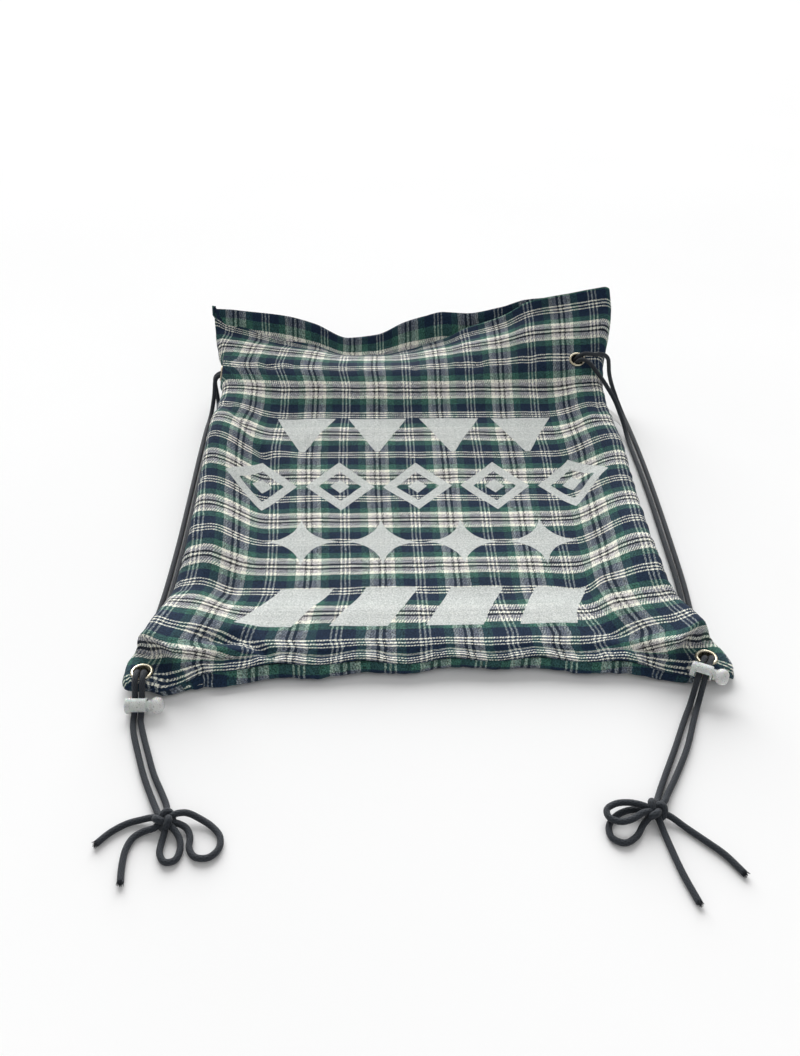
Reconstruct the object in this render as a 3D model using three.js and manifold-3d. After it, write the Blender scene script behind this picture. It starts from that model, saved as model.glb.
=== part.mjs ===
// Drawstring gym bag in checked cloth, lying on its back with the mouth away from the front.
// Units are millimetres, +Z is up, the floor is Z = 0.
import * as THREE from 'three';
import { mergeVertices } from 'three/addons/utils/BufferGeometryUtils.js';
import Module from 'manifold-3d';

// Cloth
const CLOTH = 1.6;
const GAP = 0.3;
const SEAM_GAP = 0.8;
const SEAM_FADE = 4.5;
const SEAM_PINCH = 0.35;
const RIM_SEAM_GAP = 1.6;
const RIM_SEAM_ROW = 1.2;
const HALF_CUT = 172.5;
const MIDDLE_X = 1;

// Holes, rings and cords
const CORD_D = 3.6;
const CORD_R = CORD_D / 2;
const RING_OD = 12.9;
const RING_ID = 9.2;
const BARREL_R = 5.0;
const FLANGE = 0.7;
const CHAMFER = 0.3;
const RING_SIDES = 20;
const CORD_SIDES = 8;

// Shift that puts the middle of the bag's box over the origin
const SHIFT_X = -0.6;
const SHIFT_Y = -63.85;

// Rows of the bag, counted in 50 mm checks from the mouth to the bottom seam
const ROW = [-0.25, 0, 0.5, 1, 1.5, 2, 2.5, 3, 4, 5, 6, 6.5, 7, 7.25, 7.5];
const BOTTOM_ROW = 7.5;
const BOTTOM_SCALE = 40;
const Y_FRONT = [252, 244, 221, 196, 172, 149, 124, 99, 49.5, 0, -50, -75, -99, -109, -119];
const Y_BACK = [272, 258, 232, 205, 180, 155, 128, 101, 50, 0, -50, -75, -99, -109, -119];
const Y_LEFT = [252, 243, 222, 199, 175, 150, 125, 100, 50, 0, -50, -75, -102, -117, -132];
const Y_RIGHT = [238, 230, 211, 193, 173, 150, 125, 100, 50, 0, -50, -74, -99, -113, -127];
const X_LEFT = [-159, -158, -154, -148, -147, -148, -150, -150, -150, -151, -154, -157, -163, -168, -171];
const X_RIGHT = [167, 168, 164, 158, 156, 156, 156, 156, 154, 151, 148, 149, 158, 166, 173];
const SIDE_POWER = 1.5;

// Heights over the floor: the front's middle, and the full ridges beside the seams
const LEVEL = [26, 27, 34.5, 36, 28.5, 19, 17, 14, 9, 8, 8.2, 11.5, 12.5, 10.8, 10.0];
const RIDGE_LEFT = [0, 0, 0, 0, 2, 10, 16, 19, 18, 12.5, 7, 10, 14, 7, 0];
const RIDGE_RIGHT = [0, 0, 0, 0, 4, 9, 11, 15, 16, 19, 17, 10, 14, 7, 0];
const ROLL_LEFT = [4, 5, 14, 24, 16, 16, 18, 19, 16, 11, 7, 11, 12.5, 7, 1.9];
const ROLL_RIGHT = [6, 7, 10, 15, 16, 15, 15, 16, 15, 15, 14, 10.5, 12.5, 7, 1.9];
const RIDGE_WIDTH = 42;
const RIDGE_CREST = 21;
const ROLL_RADIUS = 7;
const ROUND_BACK = 6;
const BOTTOM_ROLL = 1.9;
const BOTTOM_FADE = 40;
const SIDE_FADE = 30;

// Mouth: height of both rims over the rows below, by place across the bag
const ACROSS = [-1, -0.8, -0.62, -0.48, -0.3, -0.15, 0, 0.1, 0.2, 0.3, 0.48, 0.6, 0.8, 1];
const WAVE = [39, 28, 22, 12, 2, 0, 1, 6, 13, 21, 35, 45, 53, 61];
const WAVE_ROW = 1.5;
const WAVE_POWER_LEFT = 1.9;
const WAVE_POWER_RIGHT = 1.3;
const RIM_BACK = [57, 52, 47, 39, 25, 31, 39, 43, 46, 47, 52, 60, 66, 74];
const RISE_ROW = [-0.25, 0, 0.5, 1, 1.5, 2];
const RISE_MIDDLE = [1, 0.6, 0.24, 0.08, 0.015, 0];
const RISE_SIDE = [1, 0.81, 0.53, 0.2, 0.03, 0];

// Bottom corners: both layers lie together, lifted over the cords that pass below
const CORNER_FRONT = 10.0;
const CORNER_BACK = 6.2;
const CORNER_ROUND = 8;
const GROMMETS = { left: [-161, -121], right: [160, -115.5] };
const FLAT_IN = 12;
const FLAT_OUT = 24;
const LIFT_SIDE = [118, 146];
const LIFT_ROW = [-48, -78];

// Upper eyelets, one at each side of the front
const EYELETS = {
  left: { centre: [-149.1, 199, 29.5], normal: [-0.975, -0.09, 0.2] },
  right: { centre: [136, 191.5, 45], normal: [-0.085, -0.51, 0.855] },
};
const PRESS_IN = 11.5;
const PRESS_OUT = 18;

// Cord locks: a barrel across two cords and a sprung plunger with a ball head
const LOCK_R = 4.35;
const BORE_R = 3.35;
const PLUNGER_R = 3.05;
const BARREL_FROM = -7.8;
const BARREL_TO = 5.4;
const BORE_FROM = -6.8;
const PLUNGER_FROM = -5.0;
const SLOT_HALF = 4.2;
const SLOT_H = 4.4;
const TRAVEL = 1.5;
const HEAD_FROM = BARREL_TO + TRAVEL + GAP;
const HEAD_R = 3.9;
const HEAD_LENGTH = 4.2;
const LOCK_SIDES = 20;
const LOCKS = {
  left: { centre: [-160, -140, 7.6], axis: [1, 0, 0], along: [0, -0.77, -0.64] },
  right: { centre: [155, -127, 14.85], axis: [0.893, -0.45, 0], along: [-0.45, -0.893, 0] },
};

// Care label in the right side seam
const LABEL = { thick: 1.0, from: [158.2, 13.4], to: [168.5, 6.0], y: [151.5, 168.5], folds: 4 };

const SEAM_STEPS = [0, 1.2, 2.8, 5.5, 9, 13, 17.5, 22, 27, 32, 37, 43, 52, 66, 86, 112, 141];
const ROW_STEPS = [
  -0.25, -0.1, 0.1, 0.3, 0.5, 0.64, 0.75, 0.85, 0.95, 1.05, 1.16, 1.3, 1.5, 1.75, 2.05, 2.5, 3.1,
  3.8, 4.5, 5.2, 5.8, 6.2, 6.5, 6.75, 6.95, 7.1, 7.2, 7.29, 7.37, 7.43, 7.47, 7.5,
];

const COLOUR = {
  front: 0x1f3b46,
  back: 0x1b3540,
  ring: 0xd9d2bd,
  cord: 0x3a3a3c,
  lock: 0xe6e9e6,
  label: 0xf4f4f2,
};

const wasm = await Module();
wasm.setup();

function hermite(keys, values, at) {
  const last = keys.length - 1;
  if (at <= keys[0]) return values[0];
  if (at >= keys[last]) return values[last];
  let k = 0;
  while (at > keys[k + 1]) k += 1;
  const rate = (i) => (values[i + 1] - values[i]) / (keys[i + 1] - keys[i]);
  const slope = (i) => {
    if (i === 0) return rate(0);
    if (i === last) return rate(last - 1);
    const before = rate(i - 1);
    const after = rate(i);
    return before * after <= 0 ? 0 : 2 * before * after / (before + after);
  };
  const span = keys[k + 1] - keys[k];
  const t = (at - keys[k]) / span;
  const u = 1 - t;
  return (1 + 2 * t) * u * u * values[k] + t * u * u * span * slope(k)
    + t * t * (3 - 2 * t) * values[k + 1] - t * t * u * span * slope(k + 1);
}

function smooth(from, to, value) {
  const t = Math.min(1, Math.max(0, (value - from) / (to - from)));
  return t * t * (3 - 2 * t);
}

const mix = (a, b, t) => a + (b - a) * t;
const byRow = (values, r) => hermite(ROW, values, r);
const vec = (list) => new THREE.Vector3(list[0], list[1], list[2]);

// Roll at an edge: straight up from the seam, then a quarter turn inwards
function roll(distance, height, radius) {
  const r = Math.min(radius, height);
  const wall = height - r;
  const length = wall + r * Math.PI / 2;
  const turn = Math.min(Math.PI / 2, Math.max(0, (distance - wall) / Math.max(r, 0.01)));
  const up = distance <= wall ? distance : wall + r * Math.sin(turn);
  return { inwards: r * (1 - Math.cos(turn)), lack: Math.max(0, height - up), length, r };
}

// How much the rows near the bottom draw together where the cloth turns down
function drawIn(distance, turn) {
  const taken = Math.min(distance, turn.length);
  return (turn.inwards - taken) * (1 - smooth(0, BOTTOM_FADE, distance - turn.length));
}

// How far a place belongs to the flat patch round a bottom grommet
function patch(x, y) {
  const near = Math.min(
    Math.hypot(x - GROMMETS.left[0], y - GROMMETS.left[1]),
    Math.hypot(x - GROMMETS.right[0], y - GROMMETS.right[1]),
  );
  return 1 - smooth(FLAT_IN, FLAT_OUT, near);
}

function frontHeight(across, r, x, y) {
  const seam = HALF_CUT * (1 - Math.abs(across));
  let z = byRow(LEVEL, r);
  if (r < WAVE_ROW) {
    const power = mix(WAVE_POWER_LEFT, WAVE_POWER_RIGHT, smooth(-0.4, 0.4, across));
    z += hermite(ACROSS, WAVE, across) * ((WAVE_ROW - r) / (WAVE_ROW - ROW[0])) ** power;
  }
  const reach = Math.max(0, Math.min(1, (seam - RIDGE_CREST) / RIDGE_WIDTH));
  const ridge = byRow(across < 0 ? RIDGE_LEFT : RIDGE_RIGHT, r);
  z += ridge * 0.5 * (1 + Math.cos(Math.PI * reach));
  return mix(z, CORNER_FRONT, patch(x, y));
}

function backHeight(across, r, x, y) {
  const side = Math.abs(across) ** SIDE_POWER;
  const rise = mix(hermite(RISE_ROW, RISE_MIDDLE, r), hermite(RISE_ROW, RISE_SIDE, r), side);
  const reach = Math.abs(x - MIDDLE_X);
  const lift = smooth(LIFT_SIDE[0], LIFT_SIDE[1], reach) * smooth(LIFT_ROW[0], LIFT_ROW[1], y);
  const z = hermite(ACROSS, RIM_BACK, across) * rise + CORNER_BACK * lift;
  return mix(z, CORNER_BACK, patch(x, y));
}

// Where a place of the cloth lies: across is -1 to 1 from seam to seam, r is the row
function clothPoint(front, across, r) {
  const left = across < 0;
  const sideX = byRow(left ? X_LEFT : X_RIGHT, r);
  const sideY = byRow(left ? Y_LEFT : Y_RIGHT, r);
  const height = front ? frontHeight : backHeight;
  const radius = front ? ROLL_RADIUS : ROUND_BACK;
  const end = left ? -1 : 1;
  const seam = HALF_CUT * (1 - Math.abs(across));
  const sideFront = frontHeight(end, r, sideX, sideY);
  const sideDrop = mix(byRow(left ? ROLL_LEFT : ROLL_RIGHT, r), BOTTOM_ROLL, patch(sideX, sideY));
  const seamZ = sideFront - sideDrop;
  const sideCloth = height(end, r, sideX, sideY);
  const side = roll(seam, Math.abs(sideCloth - seamZ), radius);
  let inwards = side.inwards;
  if (seam > side.length) {
    const t = (seam - side.length) / (HALF_CUT - side.length);
    inwards = mix(side.r, Math.abs(sideX - MIDDLE_X), t);
  }
  let x = left ? sideX + inwards : sideX - inwards;
  const power = Math.abs(across) ** SIDE_POWER;
  let y = mix(byRow(front ? Y_FRONT : Y_BACK, r), sideY, power);
  const cloth = height(across, r, x, y);
  const toBottom = (BOTTOM_ROW - r) * BOTTOM_SCALE;
  const bottomZ = CORNER_FRONT - BOTTOM_ROLL;
  const bottom = roll(toBottom, Math.abs(cloth - bottomZ), front ? BOTTOM_ROLL : ROUND_BACK);
  const atSeam = roll(toBottom, Math.abs(seamZ - bottomZ), BOTTOM_ROLL);
  y += mix(drawIn(toBottom, atSeam), drawIn(toBottom, bottom), smooth(0, SIDE_FADE, seam));
  const lack = Math.max(side.lack, bottom.lack);
  const z = front ? cloth - lack : cloth + lack;
  const seamY = mix(byRow(front ? Y_FRONT : Y_BACK, BOTTOM_ROW), left ? Y_LEFT.at(-1) : Y_RIGHT.at(-1), power);
  const px = 1 - Math.abs(x - sideX) / CORNER_ROUND;
  const py = 1 - (y - seamY) / CORNER_ROUND;
  if (px > 0 && py > 0) {
    const scale = Math.max(px, py) / Math.hypot(px, py);
    x = sideX - end * CORNER_ROUND * (1 - px * scale);
    y = seamY + CORNER_ROUND * (1 - py * scale);
  }
  return new THREE.Vector3(x, y, z);
}

// Presses the cloth flat round an eyelet
function press(point, eyelet) {
  const centre = vec(eyelet.centre);
  const normal = vec(eyelet.normal).normalize();
  const away = point.clone().sub(centre);
  const weight = 1 - smooth(PRESS_IN, PRESS_OUT, away.length());
  return point.addScaledVector(normal, -away.dot(normal) * weight);
}

function acrossSteps() {
  const left = SEAM_STEPS.map((d) => d / HALF_CUT - 1);
  return [...left, 0, ...left.map((a) => -a).reverse()];
}

function panelGeometry(front) {
  const columns = acrossSteps();
  const nx = columns.length;
  const ny = ROW_STEPS.length;
  const fromSeam = (a, r) => Math.min(HALF_CUT * (1 - Math.abs(a)), (BOTTOM_ROW - r) * BOTTOM_SCALE);
  const outer = ROW_STEPS.map((r) => columns.map((a) => {
    const p = clothPoint(front, a, r);
    const onSeam = Math.abs(a) === 1 || r === BOTTOM_ROW;
    if (front && !onSeam) {
      press(p, EYELETS.left);
      press(p, EYELETS.right);
    }
    const seamGap = mix(RIM_SEAM_GAP, SEAM_GAP, smooth(ROW[0], RIM_SEAM_ROW, r));
    const part = seamGap / 2 * (1 - smooth(0, SEAM_FADE, fromSeam(a, r)));
    p.z += front ? part : -part;
    return p;
  }));
  const up = front ? 1 : -1;
  const inner = outer.map((line, j) => line.map((p, i) => {
    const alongX = line[Math.min(nx - 1, i + 1)].clone().sub(line[Math.max(0, i - 1)]);
    const alongY = outer[Math.max(0, j - 1)][i].clone().sub(outer[Math.min(ny - 1, j + 1)][i]);
    let normal = alongX.clone().cross(alongY).normalize().multiplyScalar(up);
    const bottom = j === ny - 1;
    if (i === 0 || i === nx - 1 || bottom) {
      const outwards = new THREE.Vector3();
      if (i === 0 || i === nx - 1) outwards.add(new THREE.Vector3(alongY.y, -alongY.x, 0).normalize().multiplyScalar(i === 0 ? -1 : 1));
      if (bottom) outwards.add(new THREE.Vector3(alongX.y, -alongX.x, 0).normalize());
      normal = outwards.normalize();
    }
    const pinch = SEAM_PINCH * (1 - smooth(0, SEAM_FADE, fromSeam(columns[i], ROW_STEPS[j])));
    return p.clone().addScaledVector(normal, pinch - CLOTH);
  }));
  const position = [];
  [...outer.flat(), ...inner.flat()].forEach((p) => position.push(p.x, p.y, p.z));
  const index = [];
  const at = (layer, j, i) => layer * nx * ny + j * nx + i;
  const quad = (a, b, c, d) => {
    if (front) index.push(a, b, c, a, c, d);
    else index.push(a, c, b, a, d, c);
  };
  for (let j = 0; j < ny - 1; j += 1) {
    for (let i = 0; i < nx - 1; i += 1) {
      quad(at(0, j + 1, i), at(0, j + 1, i + 1), at(0, j, i + 1), at(0, j, i));
      quad(at(1, j, i), at(1, j, i + 1), at(1, j + 1, i + 1), at(1, j + 1, i));
    }
  }
  for (let i = 0; i < nx - 1; i += 1) {
    quad(at(0, 0, i), at(0, 0, i + 1), at(1, 0, i + 1), at(1, 0, i));
    quad(at(1, ny - 1, i), at(1, ny - 1, i + 1), at(0, ny - 1, i + 1), at(0, ny - 1, i));
  }
  for (let j = 0; j < ny - 1; j += 1) {
    quad(at(0, j + 1, 0), at(0, j, 0), at(1, j, 0), at(1, j + 1, 0));
    quad(at(0, j, nx - 1), at(0, j + 1, nx - 1), at(1, j + 1, nx - 1), at(1, j, nx - 1));
  }
  const geometry = new THREE.BufferGeometry();
  geometry.setAttribute('position', new THREE.Float32BufferAttribute(position, 3));
  geometry.setIndex(index);
  return geometry;
}

function toManifold(geometry) {
  const g = geometry.clone();
  g.deleteAttribute('normal');
  g.deleteAttribute('uv');
  const merged = mergeVertices(g, 1e-4);
  return new wasm.Manifold(new wasm.Mesh({
    numProp: 3,
    vertProperties: new Float32Array(merged.attributes.position.array),
    triVerts: new Uint32Array(merged.index.array),
  }));
}

function fromManifold(solid) {
  const mesh = solid.getMesh();
  const geometry = new THREE.BufferGeometry();
  const position = [];
  for (let v = 0; v < mesh.vertProperties.length; v += mesh.numProp) {
    position.push(mesh.vertProperties[v], mesh.vertProperties[v + 1], mesh.vertProperties[v + 2]);
  }
  geometry.setAttribute('position', new THREE.Float32BufferAttribute(position, 3));
  geometry.setIndex(Array.from(mesh.triVerts));
  return geometry;
}

const aim = (normal) => new THREE.Quaternion().setFromUnitVectors(new THREE.Vector3(0, 0, 1), normal);

function cylinderAt(radius, length, centre, normal, sides) {
  const g = new THREE.CylinderGeometry(radius, radius, length, sides).rotateX(Math.PI / 2);
  return g.applyQuaternion(aim(normal)).translate(centre.x, centre.y, centre.z);
}

const UP = new THREE.Vector3(0, 0, 1);
const holeRadius = BARREL_R + GAP;

function panel(front) {
  let solid = toManifold(panelGeometry(front));
  Object.values(GROMMETS).forEach(([x, y]) => {
    const middle = new THREE.Vector3(x, y, (CORNER_FRONT + CORNER_BACK) / 2);
    solid = solid.subtract(toManifold(cylinderAt(holeRadius, 20, middle, UP, RING_SIDES)));
  });
  if (front) {
    Object.values(EYELETS).forEach((eyelet) => {
      const normal = vec(eyelet.normal).normalize();
      const middle = vec(eyelet.centre).addScaledVector(normal, -CLOTH / 2);
      solid = solid.subtract(toManifold(cylinderAt(holeRadius, 8, middle, normal, RING_SIDES)));
    });
  }
  return fromManifold(solid);
}

// Ring clamped through a stack of cloth, its middle at the stack's middle
function ring(stack, middle, normal) {
  const h = stack / 2 + GAP;
  const top = h + FLANGE;
  const inner = RING_ID / 2;
  const outer = RING_OD / 2;
  const half = [[outer, h], [outer, top - CHAMFER], [outer - CHAMFER, top], [inner + CHAMFER, top], [inner, top - CHAMFER]];
  const profile = [...half, ...half.map(([r, z]) => [r, -z]).reverse(), [BARREL_R, -h], [BARREL_R, h], half[0]];
  const points = profile.map(([r, z]) => new THREE.Vector2(r, z));
  const g = new THREE.LatheGeometry(points, RING_SIDES).rotateX(Math.PI / 2);
  return g.applyQuaternion(aim(normal)).translate(middle.x, middle.y, middle.z);
}

// Curve that steps from one named place of a cord to the next
class Route extends THREE.CatmullRomCurve3 {
  getPointAt(u, target) {
    return this.getPoint(u, target);
  }

  getTangentAt(u, target) {
    return this.getTangent(u, target);
  }
}

function cord(points) {
  const route = new Route(points.map(vec), false, 'centripetal');
  const shape = new THREE.Shape();
  for (let k = 0; k < CORD_SIDES; k += 1) {
    const a = 2 * Math.PI * (k + 0.5) / CORD_SIDES;
    const x = CORD_R * Math.cos(a);
    const y = CORD_R * Math.sin(a);
    if (k === 0) shape.moveTo(x, y);
    else shape.lineTo(x, y);
  }
  shape.closePath();
  return new THREE.ExtrudeGeometry(shape, { steps: points.length - 1, extrudePath: route, bevelEnabled: false });
}

// Frame of a lock: X along its barrel, Y along the cords that pass through
function lockFrame(lock) {
  const x = vec(lock.axis).normalize();
  const y = vec(lock.along);
  y.addScaledVector(x, -y.dot(x)).normalize();
  const z = x.clone().cross(y);
  return new THREE.Matrix4().makeBasis(x, y, z).setPosition(vec(lock.centre));
}

function rod(radius, from, to, sides = LOCK_SIDES) {
  return new THREE.CylinderGeometry(radius, radius, to - from, sides).rotateZ(-Math.PI / 2).translate((from + to) / 2, 0, 0);
}

function turned(profile) {
  const points = profile.map(([x, r]) => new THREE.Vector2(r, x));
  return new THREE.LatheGeometry(points, LOCK_SIDES).rotateZ(-Math.PI / 2);
}

function slot(from, to) {
  return new THREE.BoxGeometry(to - from, 20, SLOT_H).translate((from + to) / 2, 0, 0);
}

function barrel() {
  const c = 0.8;
  const body = turned([[BARREL_FROM, 0], [BARREL_FROM, LOCK_R - c], [BARREL_FROM + c, LOCK_R], [BARREL_TO - c, LOCK_R], [BARREL_TO, LOCK_R - c / 2], [BARREL_TO, 0]]);
  return toManifold(body)
    .subtract(toManifold(rod(BORE_R, BORE_FROM, BARREL_TO + 5)))
    .subtract(toManifold(slot(-SLOT_HALF, SLOT_HALF)));
}

function plunger() {
  const c = 1.3;
  const tip = HEAD_FROM + HEAD_LENGTH;
  const body = turned([
    [PLUNGER_FROM, 0], [PLUNGER_FROM, PLUNGER_R], [HEAD_FROM, PLUNGER_R], [HEAD_FROM, HEAD_R - c / 2],
    [HEAD_FROM + c / 2, HEAD_R], [tip - c, HEAD_R], [tip, HEAD_R - c], [tip, 0],
  ]);
  return toManifold(body).subtract(toManifold(slot(-SLOT_HALF, SLOT_HALF + TRAVEL)));
}

// Knot: turns of cord drawn tight round a core
const KNOTS = {
  left: { centre: [-134.5, -217.5, 4.9], size: [4.6, 4.3, 4.2], turns: [[20, 65], [-50, 40]] },
  right: { centre: [106.5, -217.5, 4.9], size: [5.4, 4.3, 4.2], turns: [[70, 60], [-20, 50]] },
};

function knot(spec) {
  const core = new THREE.SphereGeometry(1, 10, 6).scale(spec.size[0] - 0.6, spec.size[1] - 0.6, spec.size[2] - 0.6);
  let solid = toManifold(core);
  spec.turns.forEach(([yaw, tilt]) => {
    const turn = new THREE.TorusGeometry(2.9, CORD_R, 6, 11);
    turn.rotateX(THREE.MathUtils.degToRad(tilt)).rotateZ(THREE.MathUtils.degToRad(yaw));
    solid = solid.add(toManifold(turn));
  });
  return fromManifold(solid).translate(spec.centre[0], spec.centre[1], spec.centre[2]);
}

function label() {
  const n = LABEL.folds;
  const shape = new THREE.Shape();
  const dx = LABEL.to[0] - LABEL.from[0];
  const dz = LABEL.to[1] - LABEL.from[1];
  const length = Math.hypot(dx, dz);
  const [nx, nz] = [-dz / length, dx / length];
  const place = (t, side) => {
    const bow = 1.1 * Math.sin(Math.PI * t);
    return [LABEL.from[0] + dx * t + nx * (bow + side), LABEL.from[1] + dz * t + nz * (bow + side)];
  };
  for (let k = 0; k <= n; k += 1) {
    const [x, z] = place(k / n, -LABEL.thick / 2);
    if (k === 0) shape.moveTo(x, z);
    else shape.lineTo(x, z);
  }
  for (let k = n; k >= 0; k -= 1) {
    const [x, z] = place(k / n, LABEL.thick / 2);
    shape.lineTo(x, z);
  }
  shape.closePath();
  const g = new THREE.ExtrudeGeometry(shape, { depth: LABEL.y[1] - LABEL.y[0], bevelEnabled: false });
  return g.rotateX(Math.PI / 2).translate(0, LABEL.y[1], 0);
}

// Cord routes, hand laid: each strand runs from inside its eyelet to its knot
const CORDS = {
  cord_left_a: [
    [-143.7, 197.6, 30.6], [-146.4, 197.3, 29.8], [-149.7, 197, 28.9], [-152.2, 196.7, 27.7],
    [-154, 196.1, 25.6], [-154.8, 195.4, 23], [-155.2, 193.6, 18.6], [-155.8, 190.4, 13.4],
    [-156.6, 185.6, 8.4], [-157.4, 179, 4.4], [-158.2, 170.4, 2.2], [-158.8, 160, 1.95], [-159.2, 140, 1.95], [-159.4, 112, 1.95], [-159.4, 59, 1.95], [-159.6, 7, 1.95],
    [-160.8, -40, 1.95], [-162.4, -70, 1.95], [-163.1, -95, 1.95], [-162.87, -113.1, 1.95],
    [-162.87, -115.6, 2.35], [-162.87, -118.05, 3.65], [-162.87, -119.55, 5.4], [-162.87, -121, 8.1],
    [-162.87, -122.4, 10.9], [-162.87, -124.1, 12.85], [-162.79, -126.5, 14.05], [-162.64, -129.1, 14.5],
    [-162.49, -131.6, 14.05], [-162.36, -133.8, 12.8], [-161.87, -140, 7.6], [-161.87, -143.8, 4.4],
    [-161.9, -146.6, 2.6], [-161.9, -149.6, 1.95], [-160.6, -157, 1.95], [-154.6, -175, 1.95],
    [-149.4, -189, 1.95], [-144, -201, 1.95], [-140, -209.4, 2.6], [-138.4, -212.6, 3.2],
  ],
  cord_left_b: [
    [-144.1, 201.4, 30.6], [-146.8, 201.1, 29.8], [-150, 200.8, 28.9], [-152.6, 200.7, 27.6],
    [-154.5, 201, 25.4], [-155.4, 201.5, 22.7], [-155.6, 201.7, 18.4], [-155, 200.4, 13],
    [-154, 197, 8], [-153.2, 191.6, 4.4], [-152.7, 184, 2.3], [-152.8, 172, 1.95], [-153.4, 158, 1.95], [-154.9, 140, 1.95],
    [-155.1, 112, 1.95], [-155.1, 59, 1.95], [-155.4, 7, 1.95], [-156.6, -40, 1.95], [-158.2, -70, 1.95],
    [-159, -95, 1.95], [-159.13, -113.1, 1.95], [-159.13, -115.6, 2.35], [-159.13, -118.05, 3.65],
    [-159.13, -119.55, 5.4], [-159.13, -121, 8.1], [-159.13, -122.4, 10.9], [-159.1, -124.1, 12.85],
    [-158.79, -126.5, 14.05], [-158.64, -129.1, 14.5], [-158.49, -131.6, 14.05], [-158.36, -133.8, 12.8],
    [-158.13, -140, 7.6], [-158.13, -143.8, 4.4], [-158.1, -146.6, 2.6], [-158, -149.6, 1.95],
    [-155.8, -157, 1.95], [-149.8, -174, 1.95], [-144.6, -187.6, 1.95], [-139, -199, 1.95],
    [-135.4, -207, 2.6], [-134.6, -210.6, 3.2],
  ],
  cord_right_a: [
    [134.3, 192.4, 39.7], [135.4, 191.1, 41.9], [136.7, 189.4, 44.8], [138.3, 187.7, 46.8],
    [140.5, 185.6, 47.6], [142.8, 183.6, 47.2], [145.8, 181.2, 45.2], [149.4, 178.3, 41.4],
    [153.6, 175, 36.8], [158, 171.4, 31.2], [163.8, 165.6, 23], [167.6, 159.6, 15.4],
    [170.4, 152.4, 8.6], [171.5, 143, 3.8], [171.7, 132, 1.95], [171.5, 120, 1.95], [171.2, 100, 1.95], [170, 60, 1.95], [167.4, 10, 1.95], [164.6, -40, 1.95],
    [161.2, -70, 1.95], [158.6, -94, 1.95], [158.13, -107.6, 1.95], [158.13, -110.1, 2.35],
    [158.13, -112.55, 3.65], [158.13, -114.05, 5.4], [158.13, -115.5, 8.1], [158.13, -116.9, 10.9],
    [157.6, -118.8, 13.1], [156.3, -121.1, 14.5], [155, -123.4, 14.85], [153.33, -126.16, 14.85],
    [151.4, -130.1, 14.7], [150.2, -132.5, 13.6], [148.3, -136.2, 10.2], [146.6, -139.6, 6.2],
    [145.1, -142.5, 3.3], [143.5, -145.5, 2.1], [138, -155.4, 1.95], [127, -176.6, 1.95],
    [116.4, -196, 1.95], [110.4, -207.6, 2.6], [108.8, -211.2, 3.2],
  ],
  cord_right_b: [
    [134.3, 195.7, 41.6], [135.4, 194.4, 43.9], [136.7, 192.7, 46.7], [138.6, 191.5, 49],
    [141.6, 190.9, 50.4], [146, 191.3, 50], [150.5, 192.2, 49.1], [155, 193.2, 49],
    [159, 194.3, 47.2], [162, 195.4, 43.6], [163.6, 196.4, 38], [164.8, 197, 31.5],
    [166.8, 196.8, 24.5], [169.6, 194.6, 17], [172.4, 190.4, 10.4], [174.6, 184.6, 5.6],
    [175.8, 178, 3], [176.4, 170, 1.95], [176.6, 158, 1.95], [176.2, 112, 1.95],
    [174.4, 60, 1.95], [171.8, 10, 1.95], [168.6, -40, 1.95], [165.4, -70, 1.95], [162.6, -94, 1.95],
    [161.87, -107.6, 1.95], [161.87, -110.1, 2.35], [161.87, -112.55, 3.65], [161.87, -114.05, 5.4],
    [161.87, -115.5, 8.1], [161.87, -116.9, 10.9], [161.4, -119.1, 13.1], [160, -122.1, 14.5],
    [158.55, -124.6, 14.85], [156.67, -127.84, 14.85], [154.8, -131.7, 14.7], [153.6, -134.1, 13.6],
    [151.8, -137.7, 10.2], [150.2, -141, 6.2], [148.8, -143.9, 3.3], [147.3, -146.9, 2.1],
    [142.4, -157.4, 1.95], [134, -175.6, 1.95], [123, -194.5, 1.95], [115.2, -206.8, 2.6],
    [113.2, -210.4, 3.2],
  ],
  bow_left_loop_a: [
    [-129.4, -215, 6], [-124.4, -213.8, 5.2], [-117.6, -216, 3.2], [-111.2, -220.2, 2.1], [-107, -226, 2],
    [-107, -232.8, 2], [-111.4, -237.4, 2], [-117.6, -237, 2], [-121, -232, 2], [-121.4, -225.6, 2.1],
    [-123.8, -220.8, 2.6], [-128, -218.6, 3.4],
  ],
  bow_left_loop_b: [
    [-133.8, -223.4, 3], [-134.6, -229, 2], [-134.4, -235, 2], [-131.4, -239.4, 2], [-127, -238.6, 2],
    [-125.2, -233.6, 2], [-126, -227.4, 2.4], [-128.8, -222.9, 3.4],
  ],
  bow_left_end_a: [
    [-140.8, -215.4, 4], [-146.2, -215.3, 2.4], [-153.2, -217.3, 2], [-160, -222.1, 2], [-167, -230.4, 2],
  ],
  bow_left_end_b: [
    [-139.2, -221.2, 3.4], [-144.4, -222, 2], [-148.6, -225.4, 2], [-150.8, -231.6, 2], [-151, -241, 2], [-150, -250, 2],
  ],
  bow_right_loop_a: [
    [99.8, -215.2, 6.4], [93.6, -213.6, 6.4], [87, -214, 6.2], [82, -217.2, 5.9], [82.2, -221.8, 5.9],
    [87.2, -224.6, 6], [93.2, -223.6, 6.4], [99.2, -220.2, 6.8],
  ],
  bow_right_loop_b: [
    [100.6, -214.8, 2.2], [94, -214.8, 2], [86.6, -218.4, 2], [82, -224.6, 2], [82.4, -231, 2], [88, -234, 2],
    [94.4, -230.4, 2], [99.6, -223.4, 2.4],
  ],
  bow_right_end_a: [
    [113.2, -220, 3.4], [119.6, -225.6, 2], [127, -233.4, 2], [134.4, -241.6, 2], [140.6, -252, 2],
  ],
  bow_right_end_b: [
    [107.6, -223.6, 3], [108.6, -230, 2], [109.8, -240, 2], [111.6, -252, 2], [115, -267, 2],
  ],
};

const group = new THREE.Group();
group.name = 'drawstring_gym_bag';

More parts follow.
